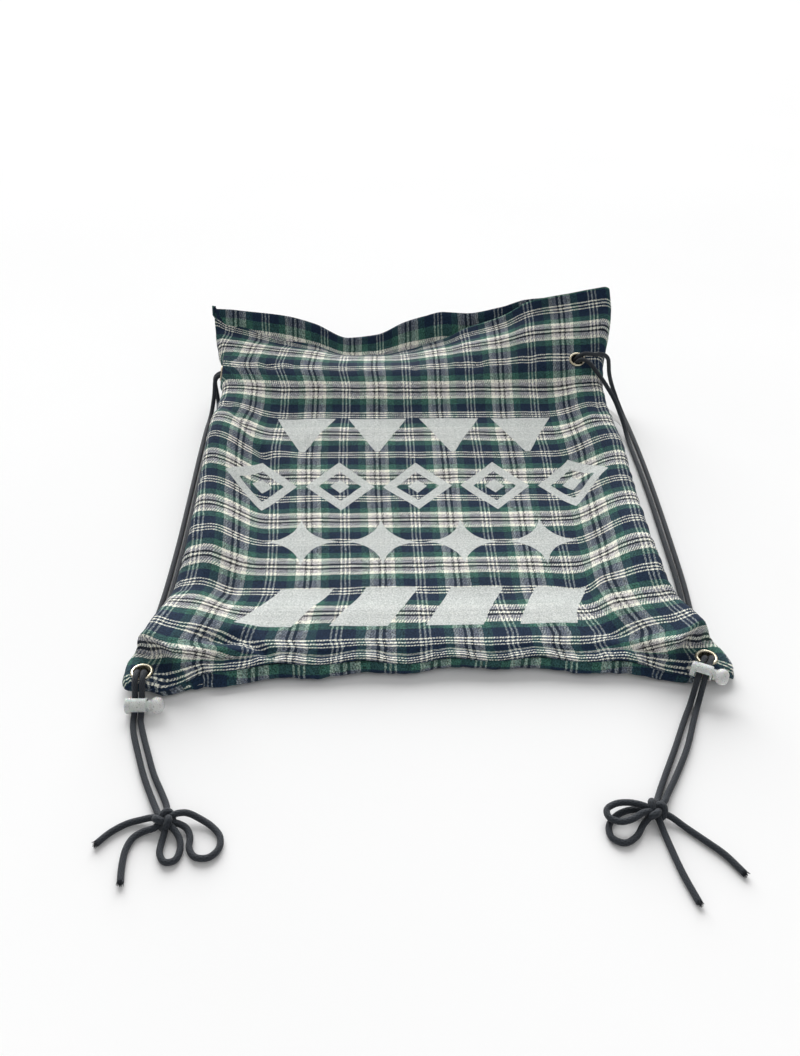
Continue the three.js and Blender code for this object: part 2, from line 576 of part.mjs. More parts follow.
function addNode(name, geometry, colour, roughness, metalness) {
  const g = geometry.clone();
  g.translate(SHIFT_X, SHIFT_Y, 0);
  g.deleteAttribute('normal');
  g.deleteAttribute('uv');
  const merged = mergeVertices(g, 1e-4);
  merged.computeVertexNormals();
  const material = new THREE.MeshStandardMaterial({ color: colour, roughness, metalness });
  const mesh = new THREE.Mesh(merged, material);
  mesh.name = name;
  group.add(mesh);
}

addNode('front_panel', panel(true), COLOUR.front, 0.9, 0);
addNode('back_panel', panel(false), COLOUR.back, 0.9, 0);

Object.entries(GROMMETS).forEach(([side, [x, y]]) => {
  const stack = CORNER_FRONT - CORNER_BACK;
  const middle = new THREE.Vector3(x, y, (CORNER_FRONT + CORNER_BACK) / 2);
  addNode(`grommet_${side}`, ring(stack, middle, UP), COLOUR.ring, 0.3, 0.9);
});
Object.entries(EYELETS).forEach(([side, eyelet]) => {
  const normal = vec(eyelet.normal).normalize();
  const middle = vec(eyelet.centre).addScaledVector(normal, -CLOTH / 2);
  addNode(`eyelet_${side}`, ring(CLOTH, middle, normal), COLOUR.ring, 0.3, 0.9);
});
Object.entries(LOCKS).forEach(([side, lock]) => {
  const frame = lockFrame(lock);
  addNode(`lock_barrel_${side}`, fromManifold(barrel()).applyMatrix4(frame), COLOUR.lock, 0.35, 0);
  addNode(`lock_plunger_${side}`, fromManifold(plunger()).applyMatrix4(frame), COLOUR.lock, 0.35, 0);
});
addNode('care_label', label(), COLOUR.label, 0.8, 0);
Object.entries(KNOTS).forEach(([side, spec]) => {
  addNode(`knot_${side}`, knot(spec), COLOUR.cord, 0.85, 0);
});
Object.entries(CORDS).forEach(([name, points]) => {
  addNode(name, cord(points), COLOUR.cord, 0.85, 0);
});

export default group;
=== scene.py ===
"""Drawstring gym bag in brushed checked cloth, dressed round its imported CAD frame."""
import functools
import math
import random

import bmesh
import bpy
from bpy.props import FloatProperty, FloatVectorProperty, IntProperty, PointerProperty
from mathutils import Matrix, Vector, noise


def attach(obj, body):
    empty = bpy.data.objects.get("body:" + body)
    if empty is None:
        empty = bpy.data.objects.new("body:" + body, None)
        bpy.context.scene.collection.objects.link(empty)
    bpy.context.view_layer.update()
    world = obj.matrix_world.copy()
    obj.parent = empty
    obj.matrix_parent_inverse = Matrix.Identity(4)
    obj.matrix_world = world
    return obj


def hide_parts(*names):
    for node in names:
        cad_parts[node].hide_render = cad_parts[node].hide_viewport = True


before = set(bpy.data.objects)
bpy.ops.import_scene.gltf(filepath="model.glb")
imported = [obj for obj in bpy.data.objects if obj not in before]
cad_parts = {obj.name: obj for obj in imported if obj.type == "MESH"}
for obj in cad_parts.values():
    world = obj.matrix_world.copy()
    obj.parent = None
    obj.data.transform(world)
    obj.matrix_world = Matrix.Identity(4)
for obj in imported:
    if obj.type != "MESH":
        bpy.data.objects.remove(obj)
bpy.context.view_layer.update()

bl_info = {
    "name": "Drawstring Gym Bag",
    "version": (1, 0, 0),
    "blender": (4, 5, 0),
    "location": "3D View > Sidebar > Gym Bag",
    "description": "Models a drawstring gym bag in brushed checked cloth round its packed frame",
    "category": "Add Mesh",
}

# Millimetres to metres, and from the bag's own place to the frame's
MM = 0.001
SHIFT = Vector((-0.6, -63.85, 0.0))
UP = Vector((0.0, 0.0, 1.0))
FLOOR_GAP = 0.1

# Rows of the bag, counted in 50 mm checks from the mouth to the bottom seam. A pair is left, right.
ROW = (-0.25, 0, 0.5, 1, 1.5, 2, 2.5, 3, 4, 5, 6, 6.5, 7, 7.25, 7.5)
FIRST_ROW, BOTTOM_ROW = ROW[0], ROW[-1]
BOTTOM_SCALE = 40
HALF_CUT = 172.5
MIDDLE_X = 1
Y_FRONT = (252, 244, 221, 196, 172, 149, 124, 99, 49.5, 0, -50, -75, -99, -109, -119)
Y_BACK = (272, 258, 232, 205, 180, 155, 128, 101, 50, 0, -50, -75, -99, -109, -119)
SIDE_Y = (
    (252, 243, 222, 199, 175, 150, 125, 100, 50, 0, -50, -75, -102, -117, -132),
    (238, 230, 211, 193, 173, 150, 125, 100, 50, 0, -50, -74, -99, -113, -127),
)
SIDE_X = (
    (-159, -158, -154, -148, -147, -148, -150, -150, -150, -151, -154, -157.5, -165.5, -170, -171),
    (167, 168, 164, 158, 156, 156, 156, 156, 154, 151, 149.5, 156, 166, 171, 173),
)
SIDE_POWER = 1.5

# Heights over the floor: the front's middle, and the full ridges beside the seams
LEVEL = (26, 27, 34.5, 36, 28.5, 19, 17, 14, 9, 8, 8.2, 11.5, 12.5, 10.8, 10.0)
RIDGE = (
    (0, 0, 0, 0, 2, 10, 16, 19, 18, 12.5, 7, 10, 14, 7, 0),
    (0, 0, 0, 0, 4, 9, 11, 15, 16, 19, 17, 10, 14, 7, 0),
)
ROLL = (
    (4, 5, 14, 24, 16, 16, 18, 19, 16, 11, 7, 11, 12.5, 7, 1.9),
    (6, 7, 10, 15, 16, 15, 15, 16, 15, 15, 14, 10.5, 12.5, 7, 1.9),
)
RIDGE_WIDTH = 42
RIDGE_CREST = 21
ROLL_RADIUS = 7
ROUND_BACK = 6
BOTTOM_ROLL = 1.9
BOTTOM_FADE = 40
SIDE_FADE = 30

# Mouth: height of both rims over the rows below, by place across the bag
ACROSS = (-1, -0.93, -0.8, -0.62, -0.48, -0.3, -0.15, 0, 0.1, 0.2, 0.3, 0.48, 0.6, 0.8, 1)
WAVE = (42, 29.5, 21, 10, 3, -7, -6.5, -2, 3, 9.5, 19.4, 32, 45, 54, 63)
WAVE_ROW = 1.5
WAVE_POWER = (1.9, 1.3)
WAVE_TURN = (-0.4, 0.4)
RIM_BACK = (61, 60, 56, 50, 41.5, 26.5, 28.5, 39.8, 46, 51, 51, 59, 68, 74, 79)
RISE_ROW = (-0.25, 0, 0.5, 1, 1.5, 2)
RISE_MIDDLE = (1, 0.6, 0.24, 0.08, 0.015, 0)
RISE_SIDE = (1, 0.81, 0.53, 0.2, 0.03, 0)

# Bottom corners: both layers lie together, lifted over the cords that pass below
CORNER_FRONT = 10.0
CORNER_BACK = 6.2
CORNER_ROUND = 11
GROMMETS = {"left": (-161, -121), "right": (160, -115.5)}
GROMMET_MIDDLE = (CORNER_FRONT + CORNER_BACK) / 2
FLAT_PATCH = (12, 24)
LIFT_SIDE = (118, 146)
LIFT_ROW = (-48, -78)

# Bottom edge by place across: how far the seam and the back's fold under it lie from a line.
# The spans are distances along the cloth over which a thing fades, at the back and at the front.
EDGE_ACROSS = (-1, -0.9, -0.75, -0.59, -0.34, -0.1, 0.2, 0.43, 0.57, 0.82, 0.92, 1)
SEAM_BACK = (0, 0, 4.5, 6, 5.5, 3.5, 5, 5.5, 5, 1.5, 0, 0)
FOLD_BACK = (0, -1.5, -2.5, 0, 1, 2, 5, 3, 1, -2, 0, 0)
SEAM_SPAN = (5, 20)
SEAM_UP = 0.24
SEAM_UP_SPAN = (4, 10)
FOLD_TURN = 5
FOLD_SPAN = (14, 32)
SCALLOP = 1.3
SCALLOP_UP = 0.6
SCALLOP_AT = 12
SCALLOP_PITCH = 50
SCALLOP_ACROSS = (0.6, 0.85)
SCALLOP_SPAN = (8, 30)
SCALLOP_UP_SPAN = (4, 24)

# Tips of the corners: how far they reach out and droop, at the seam and in the back's fold
TIP_SEAM = (4.6, 2.4)
TIP_FOLD = (6.4, 4.6)
TIP_TURN = 2.5
TIP_FROM = (7, 12)
TIP_TO = (14, 44)
TIP_RIM = (5, 11)
TIP_BOTTOM_SHARE = 1.5

# Sewing: crowding of the grid towards the seams, the gap between the layers, and the seam's groove
CROWDING = 0.12
LAYER_GAP = 0.06
LAYER_SPAN = 4.5
SEWN = 0.01
GROOVE = 0.8
GROOVE_WIDTH = 1.8

# Ripples of the cloth: height, size across and down, seed
RIPPLES = {
    "broad": (1.1, 46, 38, 0),
    "low": (0.45, 17, 15, 7),
    "pucker": (0.9, 5.5, 22, 3),
    "gather": (0.9, 7, 40, 11),
}
BACK_SEED = 40
RIPPLE_FREE = (2, 30)
PUCKER_SPANS = (0.5, 5), (8, 26)
CHANNEL_ROW = 1.02
STITCH_DEPTH = 0.7
STITCH_WIDTH = 1.1
STITCH_FREE = 6
GATHER_WIDTH = 16
FOLD_ENDS = 0.25
CALM_AT_RING = 0.9
CALM_AT_EYELET = (7.5, 16)

# Upper eyelets: centre and the cloth's direction there, and where the cloth is pressed flat
EYELETS = {
    "left": ((-149.1, 199, 29.5), (-0.975, -0.09, 0.2)),
    "right": ((136, 191.5, 45), (-0.085, -0.51, 0.855)),
}
PRESSED = (11.5, 18)

# Holes that the rings are clamped in: inside and rim of a hole, and how far the cloth moves with it
HOLE = 5.0
HOLE_RIM = 5.4
HOLE_NEAR = 9
HOLE_DEEP = 8
HEM_ROWS = (-0.1, 0.3)
SINGLE_CLOTH = 0.72

# Fine folds of the front: from x, y, to x, y, half width, height, all in mm
FOLDS = (
    (-144, 154, -121, 119, 3.2, -2.6), (-121, 119, -101, 84, 4.0, -2.2),
    (-112, 128, -90, 88, 8.0, 1.6), (-150, 160, -140, 150, 3.5, 1.8),
    (128, 125, 145, 132, 4.5, 1.8), (145, 132, 148, 160, 4.0, -1.8), (139, 58, 120, 62, 9.0, 1.4),
    (-140, -101, -107, -98, 2.8, -3.6), (-107, -98, -86, -113, 2.8, -3.0),
    (-122, -107, -100, -109, 4.0, 2.4), (-124, -90, -98, -88, 5.0, 1.8),
    (-116, 201, -104, 193, 3.6, -1.8), (-92, 203, -82, 195, 3.6, -1.8),
    (98, -92, 128, -104, 5.0, -1.8), (60, 205, 52, 186, 5.0, -1.3),
    (100, 204, 96, 182, 5.0, -1.4), (10, 199, 4, 180, 5.0, -1.1), (-133, 10, -140, -72, 9.0, 3.0),
    (-116, -26, -120, -76, 9.0, -2.4), (96, -30, 100, -82, 8.0, -2.6),
    (113, -22, 116, -88, 8.0, 3.2), (143, -16, 150, -70, 7.0, 2.0),
)

# Locks: centre, way along the barrel, way along the cords, and the sizes of barrel and plunger
LOCKS = {
    "left": ((-160, -142.3, 5.7), (1, 0, 0), (0, -0.77, -0.64)),
    "right": ((153.0, -131.1, 14.6), (0.893, -0.45, 0), (-0.45, -0.893, -0.12)),
}
BARREL_FROM = -7.0
BARREL_TO = 4.9
BARREL_R = 4.35
BARREL_CHAMFER = 1.0
BORE_R = 3.35
BORE_FROM = -6.3
RIB_AT = (-5.6, -4.7, -3.8)
RIB_HALF = 0.25
RIB_DEPTH = 0.22
PLUNGER_FROM = -4.7
PLUNGER_R = 3.05
PLUNGER_CHAMFER = 0.3
SLOT_HALF = 4.2
SLOT_H = 4.4
SLOT_ROUND = 0.9
TRAVEL = 1.5
HEAD_FROM = 6.4
HEAD_R = 4.6
HEAD_LENGTH = 7.6
HEAD_POWER = 0.75
HEAD_CUT = 0.16
HEAD_STEPS = 8
SHARP = 40

# Rings: the rolled lip over the cloth, the barrel through it, and an eyelet's stack
LIP = 0.95
LIP_GAP = 0.05
RING_BARREL = 5.0
EYELET_STACK = 1.3
EYELET_SINK = 0.6

# Care label: middle of the cloth from seam to free edge, its place along the seam, and its bow
LABEL_FROM = (158.2, 13.4)
LABEL_TO = (168.5, 6.0)
LABEL_Y = (151.5, 168.5)
LABEL_BOW = 1.1
LABEL_RIPPLE = 0.35
LABEL_LIFT = 0.25
LABEL_THICK = 0.5

# Knots: centre, half size and turn
KNOTS = {
    "left": ((-134.5, -217.5, 4.9), (6.0, 5.7, 5.0), 20),
    "right": ((106.5, -217.5, 4.9), (7.0, 5.7, 5.2), 70),
}
KNOT_STEPS = 90
KNOT_SWELL = 1.12
KNOT_FLAT = 0.62
KNOT_REACH = 12
KNOT_TUCK = 0.35

# Frayed ends: how far the fibres start inside the cord, their reach, length, lean and thickness
FRAY_BACK = 0.8
FIBRE_OUT = (0.1, 1.5)
FIBRE_LENGTH = (1.4, 2.9)
FIBRE_LEAN = 0.16
FIBRE_STRAY = 0.1
FIBRE_ENDS = (0.2, 0.08)
FIBRE_LOWEST = 0.25

# A strand's climb through a bottom grommet: ahead of the grommet's middle, and height
CLIMB = ((7.9, 1.95), (5.4, 2.35), (2.95, 3.65), (1.45, 5.4), (0, 8.1), (-1.4, 10.9))
STRAND_APART = 1.87


def climb(side, way):
    """The points of a strand that passes a grommet's middle on one side."""
    x, y = GROMMETS[side]
    return tuple((x + way * STRAND_APART, y + ahead, height) for ahead, height in CLIMB)


# Cord routes: each strand runs from inside its eyelet to its knot. A point without a
# height lies on the floor.
STRAND_REST = 1.95
BOW_REST = 2.0
STRANDS = {
    "cord_left_a": (
        (-143.7, 197.6, 30.6), (-146.4, 197.3, 29.8), (-149.7, 197, 28.9), (-152.2, 196.7, 27.7),
        (-154, 196.1, 25.6), (-154.8, 195.4, 23), (-155.2, 193.6, 18.6), (-155.8, 190.4, 13.4),
        (-156.6, 185.6, 8.4), (-157.4, 179, 4.4), (-158.2, 170.4, 2.2), (-158.8, 160),
        (-159.2, 140), (-159.4, 112), (-159.4, 59), (-159.6, 7), (-160.8, -40), (-162.4, -70),
        (-163.1, -95), *climb("left", -1), (-162.87, -124.1, 12.85), (-162.79, -126.5, 14.05),
        (-162.64, -129.1, 14.5), (-162.49, -131.6, 14.05), (-162.36, -133.8, 12.8),
        (-161.87, -140, 7.6), (-161.87, -143.8, 4.4), (-161.9, -146.6, 2.6), (-161.9, -149.6),
        (-160.6, -157), (-154.6, -175), (-149.4, -189), (-144, -201), (-140, -209.4, 2.6),
        (-138.4, -212.6, 3.2),
    ),
    "cord_left_b": (
        (-144.1, 201.4, 30.6), (-146.8, 201.1, 29.8), (-150, 200.8, 28.9), (-152.6, 200.7, 27.6),
        (-154.5, 201, 25.4), (-155.4, 201.5, 22.7), (-155.6, 201.7, 18.4), (-155, 200.4, 13),
        (-154, 197, 8), (-153.2, 191.6, 4.4), (-152.7, 184, 2.3), (-152.8, 172), (-153.4, 158),
        (-154.9, 140), (-155.1, 112), (-155.1, 59), (-155.4, 7), (-156.6, -40), (-158.2, -70),
        (-159, -95), *climb("left", 1), (-159.1, -124.1, 12.85), (-158.79, -126.5, 14.05),
        (-158.64, -129.1, 14.5), (-158.49, -131.6, 14.05), (-158.36, -133.8, 12.8),
        (-158.13, -140, 7.6), (-158.13, -143.8, 4.4), (-158.1, -146.6, 2.6), (-158, -149.6),
        (-155.8, -157), (-149.8, -174), (-144.6, -187.6), (-139, -199), (-135.4, -207, 2.6),
        (-134.6, -210.6, 3.2),
    ),
    "cord_right_a": (
        (134.3, 192.4, 39.7), (135.4, 191.1, 41.9), (136.7, 189.4, 44.8), (138.3, 187.7, 46.8),
        (140.5, 185.6, 47.6), (142.8, 183.6, 47.2), (145.8, 181.2, 45.2), (149.4, 178.3, 41.4),
        (153.6, 175, 36.8), (158, 171.4, 31.2), (163.8, 165.6, 23), (167.6, 159.6, 15.4),
        (170.4, 152.4, 8.6), (171.5, 143, 3.8), (171.7, 132), (171.5, 120), (171.2, 100),
        (170, 60), (167.4, 10), (164.6, -40), (161.2, -70), (158.6, -94), *climb("right", -1),
        (157.6, -118.8, 13.1), (156.3, -121.1, 14.5), (155, -123.4, 14.85),
        (153.33, -126.16, 14.85), (151.4, -130.1, 14.7), (150.2, -132.5, 13.6),
        (148.3, -136.2, 10.2), (146.6, -139.6, 6.2), (145.1, -142.5, 3.3), (143.5, -145.5, 2.1),
        (138, -155.4), (127, -176.6), (116.4, -196), (110.4, -207.6, 2.6), (108.8, -211.2, 3.2),
    ),
    "cord_right_b": (
        (134.3, 195.7, 41.6), (135.4, 194.4, 43.9), (136.7, 192.7, 46.7), (138.6, 191.5, 49),
        (141.6, 190.9, 50.4), (146, 191.3, 50), (150.5, 192.2, 49.1), (155, 193.2, 49),
        (159, 194.3, 47.2), (162, 195.4, 43.6), (163.6, 196.4, 38), (164.8, 197, 31.5),
        (166.8, 196.8, 24.5), (169.6, 194.6, 17), (172.4, 190.4, 10.4), (174.6, 184.6, 5.6),
        (175.8, 178, 3), (176.4, 170), (176.6, 158), (176.2, 112), (174.4, 60), (171.8, 10),
        (168.6, -40), (165.4, -70), (162.6, -94), *climb("right", 1), (161.4, -119.1, 13.1),
        (160, -122.1, 14.5), (158.55, -124.6, 14.85), (156.67, -127.84, 14.85),
        (154.8, -131.7, 14.7), (153.6, -134.1, 13.6), (151.8, -137.7, 10.2), (150.2, -141, 6.2),
        (148.8, -143.9, 3.3), (147.3, -146.9, 2.1), (142.4, -157.4), (134, -175.6), (123, -194.5),
        (115.2, -206.8, 2.6), (113.2, -210.4, 3.2),
    ),
}
LOOPS = {
    "bow_left_loop_a": (
        (-129.4, -215, 6), (-124.4, -213.8, 5.2), (-117.6, -216, 3.2), (-111.2, -220.2, 2.1),
        (-107, -226), (-107, -232.8), (-111.4, -237.4), (-117.6, -237), (-121, -232),
        (-121.4, -225.6, 2.1), (-123.8, -220.8, 2.6), (-128, -218.6, 3.4),
    ),
    "bow_left_loop_b": (
        (-133.8, -223.4, 3), (-134.6, -229), (-134.4, -235), (-131.4, -239.4), (-127, -238.6),
        (-125.2, -233.6), (-126, -227.4, 2.4), (-128.8, -222.9, 3.4),
    ),
    "bow_right_loop_a": (
        (99.8, -215.2, 6.4), (93.6, -213.6, 6.4), (87, -214, 6.2), (82, -217.2, 5.9),
        (82.2, -221.8, 5.9), (87.2, -224.6, 6), (93.2, -223.6, 6.4), (99.2, -220.2, 6.8),
    ),
    "bow_right_loop_b": (
        (100.6, -214.8, 2.2), (94, -214.8), (86.6, -218.4), (82, -224.6), (82.4, -231),
        (88, -234), (94.4, -230.4), (99.6, -223.4, 2.4),
    ),
}
ENDS = {
    "bow_left_end_a": (
        (-140.8, -215.4, 4), (-146.2, -215.3, 2.4), (-153.2, -217.3), (-160, -222.1),
        (-165.5, -228.4),
    ),
    "bow_left_end_b": (
        (-139.2, -221.2, 3.4), (-144.4, -222), (-148.6, -225.4), (-150.8, -231.6), (-151, -241),
        (-150, -250),
    ),
    "bow_right_end_a": (
        (113.2, -220, 3.4), (119.6, -225.6), (127, -233.4), (134.4, -241.6), (140.6, -252),
    ),
    "bow_right_end_b": (
        (107.6, -223.6, 3), (108.6, -230), (109.8, -240), (111.6, -252), (115, -267),
    ),
}

# Checks of the cloth: the sett from the middle of a broad group to the middle of a thin one, in mm
CHECK = 50.0
MIDDLE_CHECK = 3.04
CHECKS_EACH_WAY = 3.333
TWILL = 1.65
TWILL_LEAN = 0.5
BACK_SHIFT = (0.4, 0.37)
NAVY = (0.013, 0.027, 0.056)
GREEN = (0.044, 0.128, 0.102)
CREAM = (0.93, 0.92, 0.80)
LILAC = (0.56, 0.54, 0.53)
BLACK = (0.022, 0.024, 0.030)
SETT = (
    (0.0, CREAM), (0.95, BLACK), (2.75, LILAC), (5.8, CREAM), (8.4, GREEN), (13.8, NAVY),
    (21.6, CREAM), (22.7, NAVY), (24.4, CREAM),
)

# Rows of the check drawn into the bottom seam: on the front at once in the middle and slowly
# towards the corners, on the back by place across, middle and corner
TUCKED = 0.6
TUCK_AT_ONCE = (7.22, 7.31)
TUCK_SLOWLY = (6.1, 7.45)
TUCK_CORNER = (0.55, 0.88)
BACK_DRAWN = (0.43, 0.29)
BACK_DRAWN_ROWS = (1.5, 7.4)

# The print: pitch of its motifs, places in checks, and the two colours of its worn paint
MOTIF = 1.12
FOUR_MOTIFS = (0.83, 5.31)
FIVE_MOTIFS = (0.27, 5.87)
WEDGES = (2.1, 2.92)
LOZENGES = 3.72
STARS = 4.98
BARS = (5.95, 6.72)
BARS_ACROSS = (3.92, 8.4)
PAINT = (0.42, 0.45, 0.43), (0.80, 0.82, 0.80)

# Colours of the small parts, light and worn or clouded and clear
BRASS = (0.80, 0.74, 0.58), (0.66, 0.58, 0.42)
PLASTIC = (0.88, 0.90, 0.88), (0.97, 0.98, 0.96)
SATIN = (0.80, 0.80, 0.78), (0.90, 0.90, 0.88)

# Camera: place, and its directions to the right and forward
CAMERA_AT = (-0.0385, -0.59235, 0.4079)
CAMERA_RIGHT = (0.9992, -0.036, 0.0164)
CAMERA_FORWARD = (0.0387, 0.8053, -0.5916)
LENS = 34.09
SENSOR = 36.0


def hermite(keys, values, at):
    """Smooth curve through a table that never swings past its values."""
    last = len(keys) - 1
    if at <= keys[0]:
        return values[0]
    if at >= keys[last]:
        return values[last]
    k = 0
    while at > keys[k + 1]:
        k += 1

    def rate(i):
        return (values[i + 1] - values[i]) / (keys[i + 1] - keys[i])

    def slope(i):
        if i == 0:
            return rate(0)
        if i == last:
            return rate(last - 1)
        before, after = rate(i - 1), rate(i)
        return 0 if before * after <= 0 else 2 * before * after / (before + after)

    span = keys[k + 1] - keys[k]
    t = (at - keys[k]) / span
    u = 1 - t
    return (
        (1 + 2 * t) * u * u * values[k]
        + t * u * u * span * slope(k)
        + t * t * (3 - 2 * t) * values[k + 1]
        - t * t * u * span * slope(k + 1)
    )


@functools.cache
def by_row(values, r):
    return hermite(ROW, values, r)


@functools.cache
def by_place(values, across):
    return hermite(ACROSS, values, across)


def mix(a, b, t):
    return a + (b - a) * t


def ease(start, end, value):
    """Rises smoothly from 0 at the start to 1 at the end."""
    t = min(1.0, max(0.0, (value - start) / (end - start)))
    return t * t * (3 - 2 * t)


def fade(start, end, value):
    return 1 - ease(start, end, value)


def bell(value, width):
    return math.exp(-((value / width) ** 2))


def to_seams(across, r):
    """Distances along the cloth to the side seam and to the bottom seam."""
    return HALF_CUT * (1 - abs(across)), (BOTTOM_ROW - r) * BOTTOM_SCALE


def roll(distance, height, radius):
    """Straight up from the seam, then a quarter turn inwards."""
    r = min(radius, height)
    wall = height - r
    length = wall + r * math.pi / 2
    turn = min(math.pi / 2, max(0.0, (distance - wall) / max(r, 0.01)))
    rise = distance if distance <= wall else wall + r * math.sin(turn)
    return r * (1 - math.cos(turn)), max(0.0, height - rise), length, r


def draw_in(distance, turn):
    """How much the rows near the bottom draw together where the cloth turns down."""
    inwards, _, length, _ = turn
    return (inwards - min(distance, length)) * fade(0, BOTTOM_FADE, distance - length)


def patch(x, y):
    """How far a place belongs to the flat patch round a bottom grommet."""
    near = min(math.hypot(x - gx, y - gy) for gx, gy in GROMMETS.values())
    return fade(*FLAT_PATCH, near)


def front_height(across, r, x, y):
    z = by_row(LEVEL, r)
    if r < WAVE_ROW:
        power = mix(*WAVE_POWER, ease(*WAVE_TURN, across))
        z += by_place(WAVE, across) * ((WAVE_ROW - r) / (WAVE_ROW - FIRST_ROW)) ** power
    reach = max(0.0, min(1.0, (to_seams(across, r)[0] - RIDGE_CREST) / RIDGE_WIDTH))
    z += by_row(RIDGE[across >= 0], r) * 0.5 * (1 + math.cos(math.pi * reach))
    return mix(z, CORNER_FRONT, patch(x, y))


def back_height(across, r, x, y):
    side = abs(across) ** SIDE_POWER
    rise = mix(hermite(RISE_ROW, RISE_MIDDLE, r), hermite(RISE_ROW, RISE_SIDE, r), side)
    lift = ease(*LIFT_SIDE, abs(x - MIDDLE_X)) * ease(*LIFT_ROW, y)
    z = by_place(RIM_BACK, across) * rise + CORNER_BACK * lift
    return mix(z, CORNER_BACK, patch(x, y))


def cloth_point(front, across, r):
    """Where a place of the cloth lies: across is -1 to 1 from seam to seam, r is the row."""
    right = across >= 0
    end = 1 if right else -1
    side_x, side_y = by_row(SIDE_X[right], r), by_row(SIDE_Y[right], r)
    height = front_height if front else back_height
    radius = ROLL_RADIUS if front else ROUND_BACK
    seam, to_bottom = to_seams(across, r)
    drop = mix(by_row(ROLL[right], r), BOTTOM_ROLL, patch(side_x, side_y))
    seam_z = front_height(end, r, side_x, side_y) - drop
    side_cloth = height(end, r, side_x, side_y)
    inwards, side_lack, side_length, side_r = roll(seam, abs(side_cloth - seam_z), radius)
    if seam > side_length:
        t = (seam - side_length) / (HALF_CUT - side_length)
        inwards = mix(side_r, abs(side_x - MIDDLE_X), t)
    x = side_x - end * inwards
    power = abs(across) ** SIDE_POWER
    rows_y = Y_FRONT if front else Y_BACK
    y = mix(by_row(rows_y, r), side_y, power)
    cloth = height(across, r, x, y)
    bottom_z = CORNER_FRONT - BOTTOM_ROLL
    bottom = roll(to_bottom, abs(cloth - bottom_z), BOTTOM_ROLL if front else ROUND_BACK)
    at_seam = roll(to_bottom, abs(seam_z - bottom_z), BOTTOM_ROLL)
    y += mix(draw_in(to_bottom, at_seam), draw_in(to_bottom, bottom), ease(0, SIDE_FADE, seam))
    lack = max(side_lack, bottom[1])
    z = cloth - lack if front else cloth + lack
    seam_y = mix(rows_y[-1], SIDE_Y[right][-1], power)
    px = 1 - abs(x - side_x) / CORNER_ROUND
    py = 1 - (y - seam_y) / CORNER_ROUND
    if px > 0 and py > 0:
        scale = max(px, py) / math.hypot(px, py)
        x = side_x - end * CORNER_ROUND * (1 - px * scale)
        y = seam_y + CORNER_ROUND * (1 - py * scale)
    return Vector((x, y, z))


def shown_row(front, across, r):
    corner = ease(*TUCK_CORNER, abs(across))
    if front:
        return r + TUCKED * mix(ease(*TUCK_AT_ONCE, r), ease(*TUCK_SLOWLY, r), corner)
    return r + mix(*BACK_DRAWN, corner) * ease(*BACK_DRAWN_ROWS, r)


def lower_edge(point, front, across, r):
    """Lays the bottom seam on top of the edge, with the back's cloth folded forward below it."""
    to_side, to_bottom = to_seams(across, r)
    seam = hermite(EDGE_ACROSS, SEAM_BACK, across)
    scallop = math.cos(2 * math.pi * (across * HALF_CUT - SCALLOP_AT) / SCALLOP_PITCH)
    scallop *= SCALLOP * fade(*SCALLOP_ACROSS, abs(across)) * fade(*SCALLOP_SPAN, to_bottom)
    point.y += scallop
    if front:
        point.y += seam * fade(*SEAM_SPAN, to_bottom)
        point.z += SCALLOP_UP * scallop * fade(*SCALLOP_UP_SPAN, to_bottom)
    else:
        fold = hermite(EDGE_ACROSS, FOLD_BACK, across)
        point.y += mix(seam, fold, ease(0, FOLD_TURN, to_bottom)) * fade(*FOLD_SPAN, to_bottom)
    point.z += SEAM_UP * seam * fade(0, SEAM_UP_SPAN[front], to_bottom)
    edge = min(to_side, to_bottom * TIP_BOTTOM_SHARE)
    inner = 0.0 if front else ease(0, TIP_TURN, edge)
    for x, y in GROMMETS.values():
        away = Vector((point.x - x, point.y - y, 0))
        reach = away.length
        if TIP_FROM[0] < reach < TIP_TO[1]:
            zone = ease(*TIP_FROM, reach) * fade(*TIP_TO, reach) * fade(*TIP_RIM, edge)
            point += away * (mix(TIP_SEAM[0], TIP_FOLD[0], inner) * zone / reach)
            point.z -= mix(TIP_SEAM[1], TIP_FOLD[1], inner) * zone
    return point


def press(point, centre, normal):
    """Presses the cloth flat round an eyelet."""
    away = point - centre
    return point - normal * (away.dot(normal) * fade(*PRESSED, away.length))


def from_line(point, start, end):
    """Distance from a line seen from above, and how far along the line that is."""
    run = end - start
    away = point.xy - start
    t = max(0.0, min(1.0, away.dot(run) / run.length_squared))
    return (away - run * t).length, t


def ripple(kind, front, u, v):
    """Chance height of the cloth at a place, in waves of one kind."""
    height, size_u, size_v, seed = RIPPLES[kind]
    place = (u / size_u, v / size_v, seed if front else seed + BACK_SEED)
    return height * noise.noise(Vector(place))


